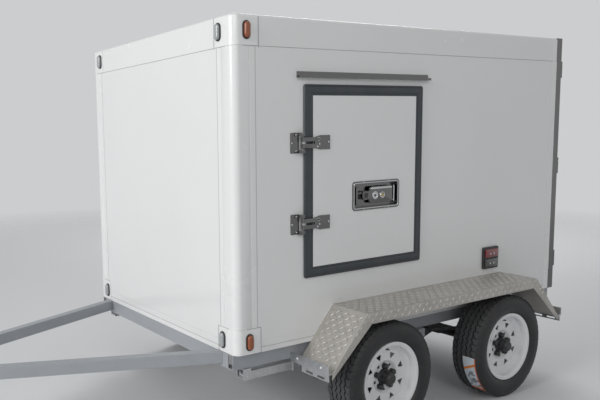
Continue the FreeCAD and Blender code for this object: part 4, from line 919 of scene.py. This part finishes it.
cap = tower(circle(15.5, 20), [(0, 0), (0, 17), (1.6, 22), (5.5, 25.5), (10, 26.6)])
collar = tower(circle(43, 36), [(0, 0), (0, 8), (2, 11), (9, 12.5)])
ridge = tower(circle(35.5, 36), [(0, 0), (0, 34), (1.2, 36), (3.5, 36)])
hole_rim, hole = turned_ring(12.5, 3.0), tower(circle(9.0, 18), [(0, 0), (0, 1.9)])
stem = tower(circle(4.6, 14), [(0, 0), (0, 15), (1.2, 16), (1.2, 25), (2.0, 26)])
for wheel in WHEELS:
    hub = [1000 * value for value in middle("tyre_" + wheel)]
    side = -1 if wheel.endswith("left") else 1
    out = (0, side, 0)
    centre = on_disc(hub, side, 0, 0)
    nut_places = [on_disc(hub, side, NUT_RING, FIFTH * index) for index in range(5)]
    hole_places = [on_disc(hub, side, HOLE_RING, FIFTH * (index + 0.5)) for index in range(5)]
    covers = [seat(cap, place, out) for place in nut_places]
    covers += [seat(collar, centre, out), seat(ridge, centre, out)]
    add("nut_caps_" + wheel, "hub_" + wheel, covers, "black_plastic")
    add("spare_hole_rims_" + wheel, "rim_" + wheel, [seat(hole_rim, place, out) for place in hole_places])
    add("spare_holes_" + wheel, "rim_" + wheel, [seat(hole, place, out) for place in hole_places],
        "black_plastic")
    add("valve_" + wheel, "rim_" + wheel, [seat(stem, on_disc(hub, side, VALVE_RING, 0, 30), out)],
        "black_plastic")
print("wheel faces", len(WHEELS))

# %% [markdown]
# Studio: a pale floor that fades away with distance, three wide soft lamps, and a world that is a paler
# grey to the camera and to reflections than it is as a light.

# %% Floor, lamps and world
FLOOR_SIZE, FADE_START, FADE_END = 60, 4.5, 11.0
bpy.ops.mesh.primitive_plane_add(size=FLOOR_SIZE, location=(0, 0, 0))
floor = bpy.context.object
floor.name = "studio_floor"
floor_paint = Finish("studio_floor_paint", (0.72, 0.73, 0.74), 0.6)
reach = (coordinate(floor_paint, 0) * coordinate(floor_paint, 0)
         + coordinate(floor_paint, 1) * coordinate(floor_paint, 1)).root()
floor_paint.set("Alpha", 1 - floor_paint.ramp(reach, FADE_START, FADE_END))
floor.data.materials.append(floor_paint.material)


def soft_lamp(name, place, aim, size, power):
    data = bpy.data.lights.new(name, "AREA")
    data.shape = "DISK"
    data.size = size
    data.energy = power
    lamp = bpy.data.objects.new(name, data)
    lamp.location = place
    lamp.rotation_euler = (Vector(aim) - Vector(place)).to_track_quat("-Z", "Y").to_euler()
    bpy.context.scene.collection.objects.link(lamp)


soft_lamp("key", (-11.0, -1.4, 5.1), (0.0, 0.0, 1.0), 5.5, 750)
soft_lamp("side_fill", (-3.0, -7.0, 5.0), (0.0, 0.0, 1.0), 4.0, 115)
soft_lamp("back_fill", (6.0, 5.0, 4.5), (0.5, 0.0, 1.0), 4.0, 240)

world = bpy.data.worlds.new("studio")
bpy.context.scene.world = world
world.use_nodes = True
wiring = Wiring(world.node_tree)
seen = [wiring.node("ShaderNodeLightPath", output=name)
        for name in ("Is Camera Ray", "Is Glossy Ray", "Is Transmission Ray")]
background = world.node_tree.nodes["Background"]
sky = wiring.blend((seen[0] + seen[1] + seen[2]) > 0.5, (0.285, 0.29, 0.295, 1.0), (0.60, 0.61, 0.62, 1.0))
wiring.link(sky, background.inputs["Color"])

# %% [markdown]
# The photograph was taken from the front left with a moderate lens and later cropped, so the camera
# keeps the lens and uses a shift.

# %% Camera
FRAME_WIDTH, FRAME_HEIGHT, SENSOR = 600.0, 400.0, 36.0
FOCAL_PIXELS, CENTRE_X, CENTRE_Y = 679.0, 163.9, 215.6
CAMERA_PLACE = Vector((-2.3165, -3.329, 1.572))
YAW, PITCH, ROLL = math.radians(60.47), math.radians(-6.81), math.radians(-1.49)

forward = Vector((math.cos(YAW) * math.cos(PITCH), math.sin(YAW) * math.cos(PITCH), math.sin(PITCH)))
level = Vector((math.sin(YAW), -math.cos(YAW), 0.0))
upright = level.cross(forward)
right = level * math.cos(ROLL) + upright * math.sin(ROLL)
up = upright * math.cos(ROLL) - level * math.sin(ROLL)
camera_data = bpy.data.cameras.new("camera")
camera_data.sensor_width = SENSOR
camera_data.lens = SENSOR * FOCAL_PIXELS / FRAME_WIDTH
camera_data.shift_x = (FRAME_WIDTH / 2 - CENTRE_X) / FRAME_WIDTH
camera_data.shift_y = (CENTRE_Y - FRAME_HEIGHT / 2) / FRAME_WIDTH
camera = bpy.data.objects.new("camera", camera_data)
bpy.context.scene.collection.objects.link(camera)
turned = Matrix((right, up, -forward)).transposed()
camera.matrix_world = Matrix.Translation(CAMERA_PLACE) @ turned.to_4x4()
bpy.context.scene.camera = camera
bpy.context.scene.view_settings.view_transform = "Standard"
print("lens", round(camera_data.lens, 2))
